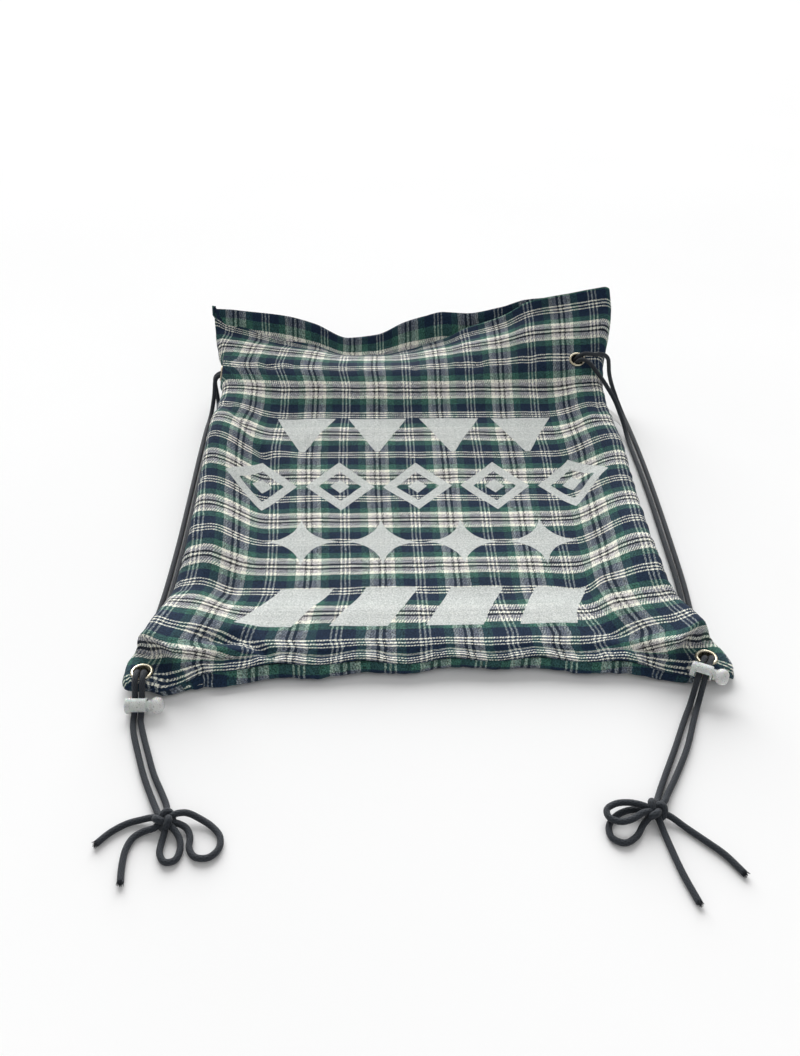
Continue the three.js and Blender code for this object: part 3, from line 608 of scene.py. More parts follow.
def fine_relief(front, point, across, r, cloth):
    """How far the cloth stands proud of its plain shape at a place, in mm."""
    to_side, to_bottom = to_seams(across, r)
    edge = min(to_side, to_bottom)
    free = ease(*RIPPLE_FREE, edge)
    u, v = across * HALF_CUT, r * CHECK
    relief = cloth.softness * free * (ripple("broad", front, u, v) + ripple("low", front, u, v))
    pucker = ripple("pucker", front, v if to_side < to_bottom else u, edge)
    rise, end = PUCKER_SPANS
    relief += cloth.puckers * pucker * ease(*rise, edge) * fade(*end, edge)
    channel = (r - CHANNEL_ROW) * CHECK
    stitched = bell(channel, STITCH_WIDTH) * ease(0, STITCH_FREE, to_side)
    gather = ripple("gather", front, u, channel) * bell(channel, GATHER_WIDTH) * free
    relief += cloth.puckers * (gather * (1 - stitched) - STITCH_DEPTH * stitched)
    if front:
        for x, y, to_x, to_y, width, height in FOLDS:
            away, t = from_line(point, Vector((x, y)), Vector((to_x, to_y)))
            if away < 3 * width:
                share = mix(FOLD_ENDS, 1, math.sin(math.pi * t))
                relief += height * share * bell(away, width)
        for centre, _ in EYELETS.values():
            relief *= ease(*CALM_AT_EYELET, (point - Vector(centre)).length)
    return relief * (1 - CALM_AT_RING * patch(point.x, point.y))


def seam_groove(point, across, r):
    """Draws both layers inwards where they are sewn together."""
    to_side, to_bottom = to_seams(across, r)
    inwards = GROOVE * bell(to_side, GROOVE_WIDTH)
    point.x += inwards if across < 0 else -inwards
    point.y += GROOVE * bell(to_bottom, GROOVE_WIDTH)
    return point


def crowded(t):
    """Moves the lines of a grid towards its edges."""
    return max(-1.0, min(1.0, t * (1 + CROWDING * (1 - t * t))))


def placed(point):
    """A point of the bag in millimetres, as a point of the frame in metres."""
    return (Vector(point) + SHIFT) * MM


def to_frame(bm, spot=None):
    """Moves a mesh in millimetres to its spot in the bag, and on to the frame."""
    spot = Matrix.Scale(MM, 4) @ Matrix.Translation(SHIFT) @ (spot or Matrix())
    bmesh.ops.transform(bm, matrix=spot, verts=bm.verts)


def to_object(name, bm, smooth=True):
    """A finished piece from a bmesh in metres, at the origin."""
    mesh = bpy.data.meshes.new(name)
    bm.to_mesh(mesh)
    bm.free()
    if smooth:
        mesh.shade_smooth()
    piece = bpy.data.objects.new(name, mesh)
    bpy.context.scene.collection.objects.link(piece)
    return piece


def dress(piece, finish, body="bag", replaces=()):
    piece.data.materials.append(finish)
    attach(piece, body)
    if replaces:
        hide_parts(*replaces)
    return piece


def catmull(points, per_span=8):
    """Points of a centripetal curve that passes through the given ones."""
    pts = [Vector(p) for p in points]
    pts = [pts[0] * 2 - pts[1], *pts, pts[-1] * 2 - pts[-2]]
    out = []
    for a, b, c, d in zip(pts, pts[1:], pts[2:], pts[3:]):
        t1 = (b - a).length ** 0.5
        t2 = t1 + (c - b).length ** 0.5
        t3 = t2 + (d - c).length ** 0.5
        for k in range(per_span):
            t = mix(t1, t2, k / per_span)
            ab = a * ((t1 - t) / t1) + b * (t / t1)
            bc = b * ((t2 - t) / (t2 - t1)) + c * ((t - t1) / (t2 - t1))
            cd = c * ((t3 - t) / (t3 - t2)) + d * ((t - t2) / (t3 - t2))
            ac = ab * ((t2 - t) / t2) + bc * (t / t2)
            bd = bc * ((t3 - t) / (t3 - t1)) + cd * ((t - t1) / (t3 - t1))
            out.append(ac * ((t2 - t) / (t2 - t1)) + bd * ((t - t1) / (t2 - t1)))
    return [*out, pts[-2]]


def even(points, step):
    """The same line with its points a fixed step apart, and that line's length."""
    length = sum((b - a).length for a, b in zip(points, points[1:]))
    count = max(2, round(length / step))
    out, k, done = [points[0].copy()], 0, 0.0
    for n in range(1, count):
        want = length * n / count
        while done + (points[k + 1] - points[k]).length < want:
            done += (points[k + 1] - points[k]).length
            k += 1
        gap = points[k + 1] - points[k]
        out.append(points[k] + gap * ((want - done) / gap.length))
    return [*out, points[-1].copy()], length


def tube(name, line, radius, sides=20, closed=False):
    """A round tube along a line, with its own length and turn as its UV map, in mm."""
    count = len(line)
    ways = [(line[min(k + 1, count - 1)] - line[max(k - 1, 0)]).normalized() for k in range(count)]
    if closed:
        ways[0] = ways[-1] = (line[1] - line[-2]).normalized()
    side = ways[0].orthogonal().normalized()
    frames = []
    for way in ways:
        side = (side - way * side.dot(way)).normalized()
        frames.append((side, way.cross(side)))
    twist = 0.0
    if closed:
        x, y = frames[0]
        twist = math.atan2(frames[-1][0].dot(y), frames[-1][0].dot(x))
    bm = bmesh.new()
    uv = bm.loops.layers.uv.new("UVMap")
    bmesh.ops.create_grid(bm, x_segments=sides, y_segments=count - 1, size=1.0, calc_uvs=True)
    run = [0.0]
    for a, b in zip(line, line[1:]):
        run.append(run[-1] + (b - a).length)
    for vert in bm.verts:
        turn = (vert.co.x + 1) * math.pi
        k = round((vert.co.y + 1) / 2 * (count - 1))
        turned = turn - twist * k / (count - 1)
        x, y = frames[k]
        ring = x * math.cos(turned) + y * math.sin(turned)
        for loop in vert.link_loops:
            loop[uv].uv = (turn / (2 * math.pi), run[k])
        vert.co = placed(line[k] + ring * radius)
    bmesh.ops.remove_doubles(bm, verts=bm.verts, dist=1e-6)
    bmesh.ops.holes_fill(bm, edges=[e for e in bm.edges if e.is_boundary])
    bmesh.ops.recalc_face_normals(bm, faces=bm.faces)
    return to_object(name, bm)


def spun(profile, steps):
    """A solid turned about X from a closed profile of (along, radius) points."""
    bm = bmesh.new()
    verts = [bm.verts.new((x, 0.0, r)) for x, r in profile]
    edges = [bm.edges.new((a, b)) for a, b in zip(verts, verts[1:] + verts[:1])]
    bmesh.ops.spin(
        bm, geom=verts + edges, cent=(0, 0, 0), axis=(1, 0, 0), angle=2 * math.pi,
        steps=steps, use_merge=True,
    )
    bmesh.ops.remove_doubles(bm, verts=bm.verts, dist=1e-5)
    bmesh.ops.dissolve_degenerate(bm, edges=bm.edges, dist=1e-5)
    bmesh.ops.recalc_face_normals(bm, faces=bm.faces)
    return bm


def lock_frame(side):
    """A lock's own place and turn: X along its barrel, Y along the cords."""
    centre, axis, along = (Vector(v) for v in LOCKS[side])
    x = axis.normalized()
    y = (along - x * along.dot(x)).normalized()
    turn = Matrix((x, y, x.cross(y))).transposed().to_4x4()
    return Matrix.Translation(centre) @ turn


class Thread:
    """A number, vector or colour on its way through a material's nodes."""

    def __init__(self, dye, socket):
        self.dye = dye
        self.socket = socket

    def math(self, operation, *others):
        sockets = dict(enumerate((self, *others)))
        return self.dye.node("ShaderNodeMath", {"operation": operation}, sockets)

    def __add__(self, other):
        return self.math("ADD", other)

    __radd__ = __add__

    def __sub__(self, other):
        return self.math("SUBTRACT", other)

    def __rsub__(self, other):
        return self * -1.0 + other

    def __mul__(self, other):
        return self.math("MULTIPLY", other)

    __rmul__ = __mul__

    def __abs__(self):
        return self.math("ABSOLUTE")

    def __lt__(self, other):
        return self.math("LESS_THAN", other)

    def __gt__(self, other):
        return self.math("GREATER_THAN", other)

    def part(self):
        return self.math("FRACT")

    def least(self, other):
        return self.math("MINIMUM", other)

    def most(self, other):
        return self.math("MAXIMUM", other)

    def root(self):
        return self.math("SQRT")

    def eased(self, low, high, to_low=0.0, to_high=1.0):
        """Rises smoothly from one level to another between low and high."""
        settings = {"interpolation_type": "SMOOTHSTEP", "clamp": True}
        sockets = dict(enumerate((self, low, high, to_low, to_high)))
        return self.dye.node("ShaderNodeMapRange", settings, sockets)


class Dye:
    """One material, and the nodes that colour it."""

    def __init__(self, name, constants):
        self.material = bpy.data.materials.new(name)
        self.material.use_nodes = True
        self.tree = self.material.node_tree
        self.shader = self.tree.nodes["Principled BSDF"]
        self.place = self.node("ShaderNodeTexCoord", out="Object")
        self.feed(constants)

    def join(self, socket, value):
        """Links or sets one socket."""
        if isinstance(value, Thread):
            self.tree.links.new(value.socket, socket)
        elif hasattr(value, "__len__") and len(value) == 3 and len(socket.default_value) == 4:
            socket.default_value = (*value, 1.0)
        else:
            socket.default_value = value

    def node(self, kind, settings=None, sockets=None, out=0):
        """One node of any type, with its settings, its sockets' values or links, and its output."""
        made = self.tree.nodes.new(kind)
        for name, value in (settings or {}).items():
            if name == "stops":
                ramp = made.color_ramp
                ramp.interpolation = "CONSTANT"
                while len(ramp.elements) < len(value):
                    ramp.elements.new(0.5)
                for element, (at, colour) in zip(ramp.elements, value):
                    element.position = at
                    element.color = (*colour, 1.0)
            else:
                setattr(made, name, value)
        for key, value in (sockets or {}).items():
            self.join(made.inputs[key], value)
        return Thread(self, made.outputs[out])

    def split_uv(self):
        """The two numbers of the piece's own UV map."""
        uv = self.node("ShaderNodeUVMap", {"uv_map": "UVMap"})
        outputs = self.node("ShaderNodeSeparateXYZ", None, {0: uv}).socket.node.outputs
        return Thread(self, outputs[0]), Thread(self, outputs[1])

    def grain(self, scale, detail=2.0, roughness=0.5):
        """Fine chance tone that stays with the piece."""
        sockets = {"Vector": self.place, "Scale": scale, "Detail": detail, "Roughness": roughness}
        return self.node("ShaderNodeTexNoise", None, sockets)

    def tint(self, value):
        return self.node("ShaderNodeCombineXYZ", None, {0: value, 1: value, 2: value})

    def blend(self, factor, a, b, how="MIX"):
        settings = {"data_type": "RGBA", "blend_type": how}
        return self.node("ShaderNodeMix", settings, {0: factor, 6: a, 7: b}, out=2)

    def feed(self, sockets):
        for name, value in sockets.items():
            self.join(self.shader.inputs[name], value)
        return self.material

    def finish(self, colour, roughness, height, depth, strength):
        """Feeds the shader what varies: its colour, its roughness and its relief in metres."""
        relief = {"Height": height, "Distance": depth, "Strength": strength}
        normal = self.node("ShaderNodeBump", None, relief)
        return self.feed({"Base Color": colour, "Roughness": roughness, "Normal": normal})


def brushed_check(name, shift=(0.0, 0.0), printed=False):
    """Brushed cotton cloth woven in checks, with an optional worn print on top."""
    dye = Dye(name, {"Specular IOR Level": 0.12, "Sheen Weight": 0.04, "Sheen Roughness": 0.5})
    drift = (dye.grain(60.0, 1.0) - 0.5) * 0.02
    u, v = (along + by + drift for along, by in zip(dye.split_uv(), shift))
    fuzz = dye.grain(900.0, 2.0, 0.6)
    wobble = (fuzz - 0.5) * 0.05
    stops = [(d * 2 / CHECK, tuple(c ** 0.5 for c in colour)) for d, colour in SETT]
    warp, weft = (
        dye.node("ShaderNodeValToRGB", {"stops": stops}, {0: abs(t.part() - 0.5) * 2.0 + wobble})
        for t in (u, v)
    )
    diagonal = ((u + v * TWILL_LEAN) * (CHECK / TWILL)).part()
    rib = abs(diagonal - 0.5)
    hatch = (rib + (dye.grain(1300.0, 1.0) - 0.5) * 0.8).eased(0.08, 0.42, -0.5, 0.5)
    over = hatch * weft.eased(0.35, 0.9, 0.16, 0.62) + 0.64
    woven = dye.blend(over, warp, weft)
    cloth = dye.node("ShaderNodeGamma", None, {0: woven, 1: 2.0})
    mixed = woven * (1.0 - woven)
    speck = dye.grain(1200.0, 3.0, 0.75).eased(0.34, 0.66, -1.0, 1.0) * (mixed * 2.6 + 0.12) + 0.97
    worn = dye.grain(35.0, 3.0).eased(0.3, 0.7, 0.92, 1.06)
    cloth = dye.blend(1.0, cloth, dye.tint(speck * worn), "MULTIPLY")
    if printed:
        ink = print_mask(u, v) * dye.grain(900.0, 4.0, 0.8).eased(0.3, 0.55, 0.72, 0.98)
        paint = dye.blend(dye.grain(1100.0, 3.0, 0.8).eased(0.32, 0.68), *PAINT)
        cloth = dye.blend(ink, cloth, paint)
    rough = fuzz.eased(0.2, 0.8, 0.82, 0.98)
    return dye.finish(cloth, rough, rib * 0.5 + fuzz * 0.6, 0.00022, 0.7)


def print_mask(u, v):
    """Four plain bands: wedges, framed lozenges, four-pointed stars and slanted bars."""

    def column(along, shift):
        """Place across one motif, in checks from its middle."""
        return abs((along * (1 / MOTIF) + shift).part() - 0.5) * MOTIF

    def within(value, low, high):
        return (value > low) * (value < high)

    four, lean = within(u, *FOUR_MOTIFS), u + v * 0.5
    wedge = ((column(u, 0.26) + (v - WEDGES[0]) * 0.52) < 0.46) * within(v, *WEDGES) * four
    lozenge = column(u, 0.76) + abs(v - LOZENGES) * 0.92
    framed = (lozenge < 0.50) * (lozenge > 0.31).most(lozenge < 0.14) * within(u, *FIVE_MOTIFS)
    star = ((column(u, 0.26) + 0.015).root() + (abs(v - STARS) + 0.015).root() < 0.84) * four
    slant = (column(lean, 0.5) < 0.34) * within(v, *BARS) * within(lean, *BARS_ACROSS)
    return (wedge + framed + star + slant).least(1.0)


def twisted_cord(name, colour):
    """Round braided cord, its strands crossing along its length."""
    dye = Dye(name, {"Specular IOR Level": 0.35, "Sheen Weight": 0.1})
    turn, along = dye.split_uv()
    one, other = ((turn * 8.0 + along * pitch).part() for pitch in (1 / 2.6, -1 / 2.6))
    braid = (1.0 - abs(one - 0.5) * 2.0).most(1.0 - abs(other - 0.5) * 2.0)
    fuzz = dye.grain(2200.0, 2.0)
    # The braid's tone is painted shade in the grooves between strands and a painted highlight on
    # their crowns, mixed with chance fibre tone.
    tone = (braid * 0.6 + fuzz * 0.4).eased(0.2, 0.9, 0.55, 1.35)
    cord = dye.blend(1.0, colour, dye.tint(tone), "MULTIPLY")
    return dye.finish(cord, fuzz.eased(0.2, 0.8, 0.6, 0.85), braid + fuzz * 0.4, 0.00025, 0.8)


def pale_brass(name):
    """Satin plated metal, a little duller where it has been handled."""
    dye = Dye(name, {"Metallic": 1.0})
    worn = dye.grain(260.0, 3.0)
    rough = dye.grain(900.0, 2.0).eased(0.3, 0.7, 0.24, 0.42)
    return dye.finish(dye.blend(worn.eased(0.35, 0.7), *BRASS), rough, worn, 0.00004, 0.5)


def frosted_plastic(name):
    """Translucent white moulded plastic."""
    scatter = {"Subsurface Weight": 0.2, "Subsurface Scale": 0.003}
    dye = Dye(name, {"Transmission Weight": 0.45, "IOR": 1.46, **scatter})
    base = dye.blend(dye.grain(240.0, 2.0).eased(0.3, 0.7), *PLASTIC)
    fine = dye.grain(1800.0, 2.0)
    return dye.finish(base, fine.eased(0.3, 0.7, 0.26, 0.4), fine, 0.00003, 0.4)


def label_satin(name):
    """Blank woven satin tape."""
    dye = Dye(name, {"Sheen Weight": 0.2})
    outputs = dye.node("ShaderNodeSeparateXYZ", None, {0: dye.place}).socket.node.outputs
    rib = abs((Thread(dye, outputs[1]) * 1400.0).part() - 0.5)
    base = dye.blend(dye.grain(120.0, 2.0).eased(0.3, 0.7), *SATIN)
    return dye.finish(base, rib.eased(0.0, 0.5, 0.45, 0.65), rib, 0.00008, 0.6)


def studio_paper(name):
    """Plain pale paper for the floor."""
    dye = Dye(name, {"Specular IOR Level": 0.1})
    tone = dye.grain(3.0, 2.0).eased(0.2, 0.8, 0.93, 0.95)
    return dye.feed({"Base Color": dye.tint(tone), "Roughness": tone})


class ClothSettings(bpy.types.PropertyGroup):
    across: IntProperty(
        name="Cells across", description="Cells of a panel from seam to seam", default=160, min=40,
        max=200,
    )
    down: IntProperty(
        name="Cells down", description="Cells of a panel from mouth to bottom", default=176, min=40,
        max=220,
    )
    thickness: FloatProperty(
        name="Thickness", description="Thickness of the hemmed cloth", default=0.0015,
        unit="LENGTH",
    )
    softness: FloatProperty(
        name="Softness", description="Share of the low waves in the cloth", default=1.0, min=0,
        max=2, subtype="FACTOR",
    )
    puckers: FloatProperty(
        name="Puckers", description="Share of the puckers along seams and stitching", default=1.0,
        min=0, max=2, subtype="FACTOR",
    )


class CordSettings(bpy.types.PropertyGroup):
    diameter: FloatProperty(
        name="Diameter", description="Thickness of the drawcord", default=0.0033, unit="LENGTH",
    )
    sides: IntProperty(
        name="Sides", description="Sides of a cord's round", default=20, min=8, max=32,
    )
    colour: FloatVectorProperty(
        name="Colour", description="Colour of the drawcord", default=(0.020, 0.025, 0.033),
        subtype="COLOR", size=3,
    )
    fibres: IntProperty(
        name="Fibres", description="Loose fibres at a cut end", default=44, min=0, max=80,
    )


class HardwareSettings(bpy.types.PropertyGroup):
    ring_outside: FloatProperty(
        name="Ring outside", description="Outer diameter of a ring", default=0.0129, unit="LENGTH",
    )
    ring_inside: FloatProperty(
        name="Ring inside", description="Opening of a ring", default=0.0090, unit="LENGTH",
    )
    steps: IntProperty(
        name="Steps", description="Steps of a turned piece", default=56, min=16, max=96,
    )


class StageSettings(bpy.types.PropertyGroup):
    key: FloatProperty(
        name="Key light", description="Strength of the soft light above", default=4.1, min=0,
    )
    fill: FloatProperty(
        name="Fill light", description="Strength of the soft light in front", default=0.25, min=0,
    )
    sky: FloatProperty(
        name="Surround", description="Strength of the even light all round", default=0.41, min=0,
    )


class GYMBAG_OT_stage(bpy.types.Operator):
    """Lay the pale floor, hang the soft lights and set the camera"""

    bl_idname = "gymbag.stage"
    bl_label = "Stage"

    def execute(self, context):
        settings = context.scene.gymbag_stage
        bm = bmesh.new()
        bmesh.ops.create_grid(bm, x_segments=8, y_segments=8, size=3.0)
        floor = to_object("floor", bm, smooth=False)
        floor.data.materials.append(studio_paper("studio_paper"))
        self.light("key_light", settings.key, 60, (-0.1, 1.0, 0.5))
        self.light("fill_light", settings.fill, 70, (0.35, -1.0, 0.9))
        world = bpy.data.worlds.new("surround")
        world.use_nodes = True
        background = world.node_tree.nodes["Background"]
        background.inputs["Color"].default_value = (1.0, 1.0, 1.0, 1.0)
        background.inputs["Strength"].default_value = settings.sky
        context.scene.world = world
        context.scene.view_settings.view_transform = "Standard"
        self.camera(context)
        return {"FINISHED"}

    def camera(self, context):
        """Sets the camera where the picture is seen from."""
        right, forward = Vector(CAMERA_RIGHT).normalized(), Vector(CAMERA_FORWARD).normalized()
        up = right.cross(forward).normalized()
        turn = Matrix((forward.cross(up), up, -forward)).transposed().to_4x4()
        lens = bpy.data.cameras.new("camera")
        lens.lens = LENS
        lens.sensor_width = SENSOR
        lens.clip_start = 0.01
        camera = bpy.data.objects.new("camera", lens)
        camera.matrix_world = Matrix.Translation(CAMERA_AT) @ turn
        context.scene.collection.objects.link(camera)
        context.scene.camera = camera

    def light(self, name, strength, spread, place):
        """A far soft light that shines from a place towards the bag."""
        lamp = bpy.data.lights.new(name, "SUN")
        lamp.energy = strength
        lamp.angle = math.radians(spread)
        piece = bpy.data.objects.new(name, lamp)
        piece.location = place
        piece.rotation_euler = (-Vector(place)).to_track_quat("-Z", "Y").to_euler()
        bpy.context.scene.collection.objects.link(piece)


class GYMBAG_OT_cords(bpy.types.Operator):
    """Lay the four strands of drawcord with their knots, bows and frayed ends"""

    bl_idname = "gymbag.cords"
    bl_label = "Drawcords"

    def execute(self, context):
        settings = context.scene.gymbag_cord
        finish = twisted_cord("braided_cord", tuple(settings.colour))
        frayed = twisted_cord("frayed_cord", tuple(c * 1.5 for c in settings.colour))
        knots = {side: self.knot(side, settings, finish) for side in KNOTS}
        for name, route in STRANDS.items():
            side = name.split("_")[1]
            self.lay(name, route, STRAND_REST, settings, finish, "knot", [knots[side]])
        for name, route in LOOPS.items():
            self.lay(name, route, BOW_REST, settings, finish, "object", [])
        for name, route in ENDS.items():
            tip = self.fray(name, route, settings, frayed)
            self.lay(name, route, BOW_REST, settings, finish, "bare", [tip])
        return {"FINISHED"}

    def lay(self, name, route, rest, settings, finish, far_end, pieces):
        """One length of cord along its route, with its ends tucked into the knot that is near."""
        knot = Vector(KNOTS[name.split("_")[1]][0])
        route = [Vector((*point, rest)[:3]) for point in route]
        if (route[0] - knot).length < KNOT_REACH:
            route.insert(0, knot + (route[0] - knot) * KNOT_TUCK)
        if (route[-1] - knot).length < KNOT_REACH:
            route.append(knot + (route[-1] - knot) * KNOT_TUCK)
        line, length = even(catmull(route), 1.0)
        piece = tube(name + "_braid", line, settings.diameter / MM / 2, settings.sides)
        dress(piece, finish, replaces=(name,))
        length * MM

    def knot(self, side, settings, finish):
        """Turns of cord drawn tight: a trefoil, pressed flat."""
        centre, size, yaw = KNOTS[side]
        radius = settings.diameter / MM / 2
        turned = Matrix.Rotation(math.radians(yaw), 3, "Z")
        line = []
        for k in range(KNOT_STEPS + 1):
            t = 2 * math.pi * k / KNOT_STEPS
            x = (math.sin(t) + 2 * math.sin(2 * t)) / 3 * (size[0] - radius)
            y = (math.cos(t) - 2 * math.cos(2 * t)) / 3 * (size[1] - radius)
            z = -math.sin(3 * t) * (size[2] - radius) * KNOT_FLAT
            line.append(Vector(centre) + turned @ Vector((x, y, z)))
        thick = radius * KNOT_SWELL
        piece = tube(f"knot_{side}_turns", line, thick, settings.sides, closed=True)
        return dress(piece, finish, replaces=(f"knot_{side}",))

    def fray(self, name, route, settings, finish):
        """Loose fibres that stand out of a cut end."""
        chance = random.Random(name)
        before, end = (Vector((*point, BOW_REST)[:3]) for point in route[-2:])
        way = (end - before).normalized()
        side = way.cross(UP).normalized()
        bm = bmesh.new()
        for _ in range(settings.fibres):
            turn = chance.uniform(0, 2 * math.pi)
            out = chance.uniform(*FIBRE_OUT)
            length = chance.uniform(*FIBRE_LENGTH)
            lean = out * FIBRE_LEAN + chance.uniform(-FIBRE_STRAY, FIBRE_STRAY)
            aside = side * math.cos(turn) + UP * math.sin(turn)
            foot = end - way * FRAY_BACK + aside * out
            tilt = (way + aside * lean).normalized()
            if (foot + tilt * length).z < FIBRE_LOWEST:
                tilt.z = max(tilt.z, (FIBRE_LOWEST - foot.z) / length)
            turned = UP.rotation_difference(tilt).to_matrix().to_4x4()
            bmesh.ops.create_cone(
                bm, cap_ends=True, segments=5, radius1=FIBRE_ENDS[0], radius2=FIBRE_ENDS[1],
                depth=length, matrix=Matrix.Translation(foot + tilt * (length / 2)) @ turned,
            )
        to_frame(bm)
        return dress(to_object(name + "_fray", bm), finish)


class GYMBAG_OT_panels(bpy.types.Operator):
    """Cut and lay the front and back panels of checked cloth"""

    bl_idname = "gymbag.panels"
    bl_label = "Cloth panels"

    def execute(self, context):
        settings = context.scene.gymbag_cloth
        front = self.panel("front_cloth", True, settings)
        back = self.panel("back_cloth", False, settings)
        printed = brushed_check("printed_check", printed=True)
        dress(front, printed, replaces=("front_panel",))
        plain = brushed_check("plain_check", BACK_SHIFT)
        dress(back, plain, replaces=("back_panel",))
        return {"FINISHED"}

    def panel(self, name, front, settings):
        """One panel: a grid laid in the cloth's shape, with its holes and its thickness."""
        bm = bmesh.new()
        uv = bm.loops.layers.uv.new("UVMap")
        bmesh.ops.create_grid(
            bm, x_segments=settings.across, y_segments=settings.down, size=1.0, calc_uvs=True
        )
        eyes = [(Vector(c), Vector(n).normalized()) for c, n in EYELETS.values()] if front else []
        spots = []
        for vert in bm.verts:
            across, down = crowded(vert.co.x), crowded(vert.co.y)
            r = mix(BOTTOM_ROW, FIRST_ROW, (down + 1) / 2)
            spots.append((across, r))
            check = (MIDDLE_CHECK + CHECKS_EACH_WAY * across, shown_row(front, across, r))
            for loop in vert.link_loops:
                loop[uv].uv = check
            vert.co = self.lie(front, across, r, eyes)
        if not front:
            bmesh.ops.reverse_faces(bm, faces=bm.faces)
        bm.normal_update()
        normals = [v.normal.copy() for v in bm.verts]
        for vert, (across, r), normal in zip(bm.verts, spots, normals):
            vert.co += normal * fine_relief(front, vert.co.copy(), across, r, settings)
            vert.co.z = max(vert.co.z, FLOOR_GAP)
        holes = [(Vector((x, y, GROMMET_MIDDLE)), UP) for x, y in GROMMETS.values()]
        for centre, normal in holes + eyes:
            self.punch(bm, centre, normal)
        self.hem(bm)
        to_frame(bm)
        piece = to_object(name, bm)
        wall = piece.modifiers.new("wall", "SOLIDIFY")
        wall.thickness = settings.thickness
        wall.offset = -1.0
        wall.use_rim = True
        wall.vertex_group = "hem"
        wall.thickness_vertex_group = SINGLE_CLOTH
        group = piece.vertex_groups.new(name="hem")
        shares = [value.value for value in piece.data.attributes["hem_share"].data]
        for k, share in enumerate(shares):
            group.add([k], share, "REPLACE")
        piece.data.attributes.remove(piece.data.attributes["hem_share"])
        return piece

    def lie(self, front, across, r, eyes):
        """Where a place of a panel lies, pressed at the eyelets and sewn at the seams."""
        point = cloth_point(front, across, r)
        edge = min(to_seams(across, r))
        if edge > SEWN:
            for centre, normal in eyes:
                point = press(point, centre, normal)
        gap = LAYER_GAP * fade(0, LAYER_SPAN, edge)
        point.z += gap if front else -gap
        return seam_groove(lower_edge(point, front, across, r), across, r)

    def punch(self, bm, centre, normal):
        """Cuts the round hole that a ring is clamped in."""

        def parts(vert):
            """A place's offset from the hole: flat on the cloth, and off it."""
            offset = vert.co - centre
            off = normal * offset.dot(normal)
            return offset - off, off

        def near(vert, reach):
            flat, off = parts(vert)
            return flat.length < reach and off.length < HOLE_DEEP

        inside = [v for v in bm.verts if near(v, HOLE)]
        bmesh.ops.delete(bm, geom=inside, context="VERTS")
        for vert in bm.verts:
            if vert.is_boundary and near(vert, HOLE_NEAR):
                flat, off = parts(vert)
                vert.co = centre + off + flat.normalized() * HOLE_RIM

    def hem(self, bm):
        """Marks how thick the cloth is: full at the folded hem of the mouth."""
        layer = bm.verts.layers.float.new("hem_share")
        uv = bm.loops.layers.uv["UVMap"]
        for vert in bm.verts:
            row = max((loop[uv].uv.y for loop in vert.link_loops), default=BOTTOM_ROW)
            vert[layer] = fade(*HEM_ROWS, row)


class GYMBAG_OT_rings(bpy.types.Operator):
    """Clamp the two eyelets and the two bottom grommets"""

    bl_idname = "gymbag.rings"
    bl_label = "Rings"

    def execute(self, context):
        settings = context.scene.gymbag_hardware
        finish = pale_brass("pale_brass")
        stack = CORNER_FRONT - CORNER_BACK
        for side, (x, y) in GROMMETS.items():
            middle = Vector((x, y, GROMMET_MIDDLE))
            self.ring(f"grommet_{side}", stack, middle, UP, settings, finish)
        for side, (centre, normal) in EYELETS.items():
            normal = Vector(normal).normalized()
            middle = Vector(centre) - normal * EYELET_SINK
            self.ring(f"eyelet_{side}", EYELET_STACK, middle, normal, settings, finish)
        return {"FINISHED"}

    def ring(self, name, stack, middle, normal, settings, finish):
        """One ring: a lip rolled over each face of the stack, and the barrel between them."""
        outer = settings.ring_outside / MM / 2
        inner = settings.ring_inside / MM / 2
        h = stack / 2 + LIP_GAP
        half = [
            (h, outer - 0.25), (h + LIP * 0.35, outer), (h + LIP * 0.8, outer - 0.35),
            (h + LIP, (outer + inner) / 2 + 0.1), (h + LIP * 0.85, inner + 0.3),
            (h + LIP * 0.4, inner + 0.02),
        ]
        other = [(-along, r) for along, r in reversed(half)]
        bm = spun([*half, *other, (-h, RING_BARREL), (h, RING_BARREL)], settings.steps)
        turn = Vector((1, 0, 0)).rotation_difference(normal).to_matrix().to_4x4()
        to_frame(bm, Matrix.Translation(middle) @ turn)
        piece = to_object(name + "_rolled", bm)
        smooth = piece.modifiers.new("rounded", "SUBSURF")
        smooth.levels = smooth.render_levels = 1
        dress(piece, finish, replaces=(name,))


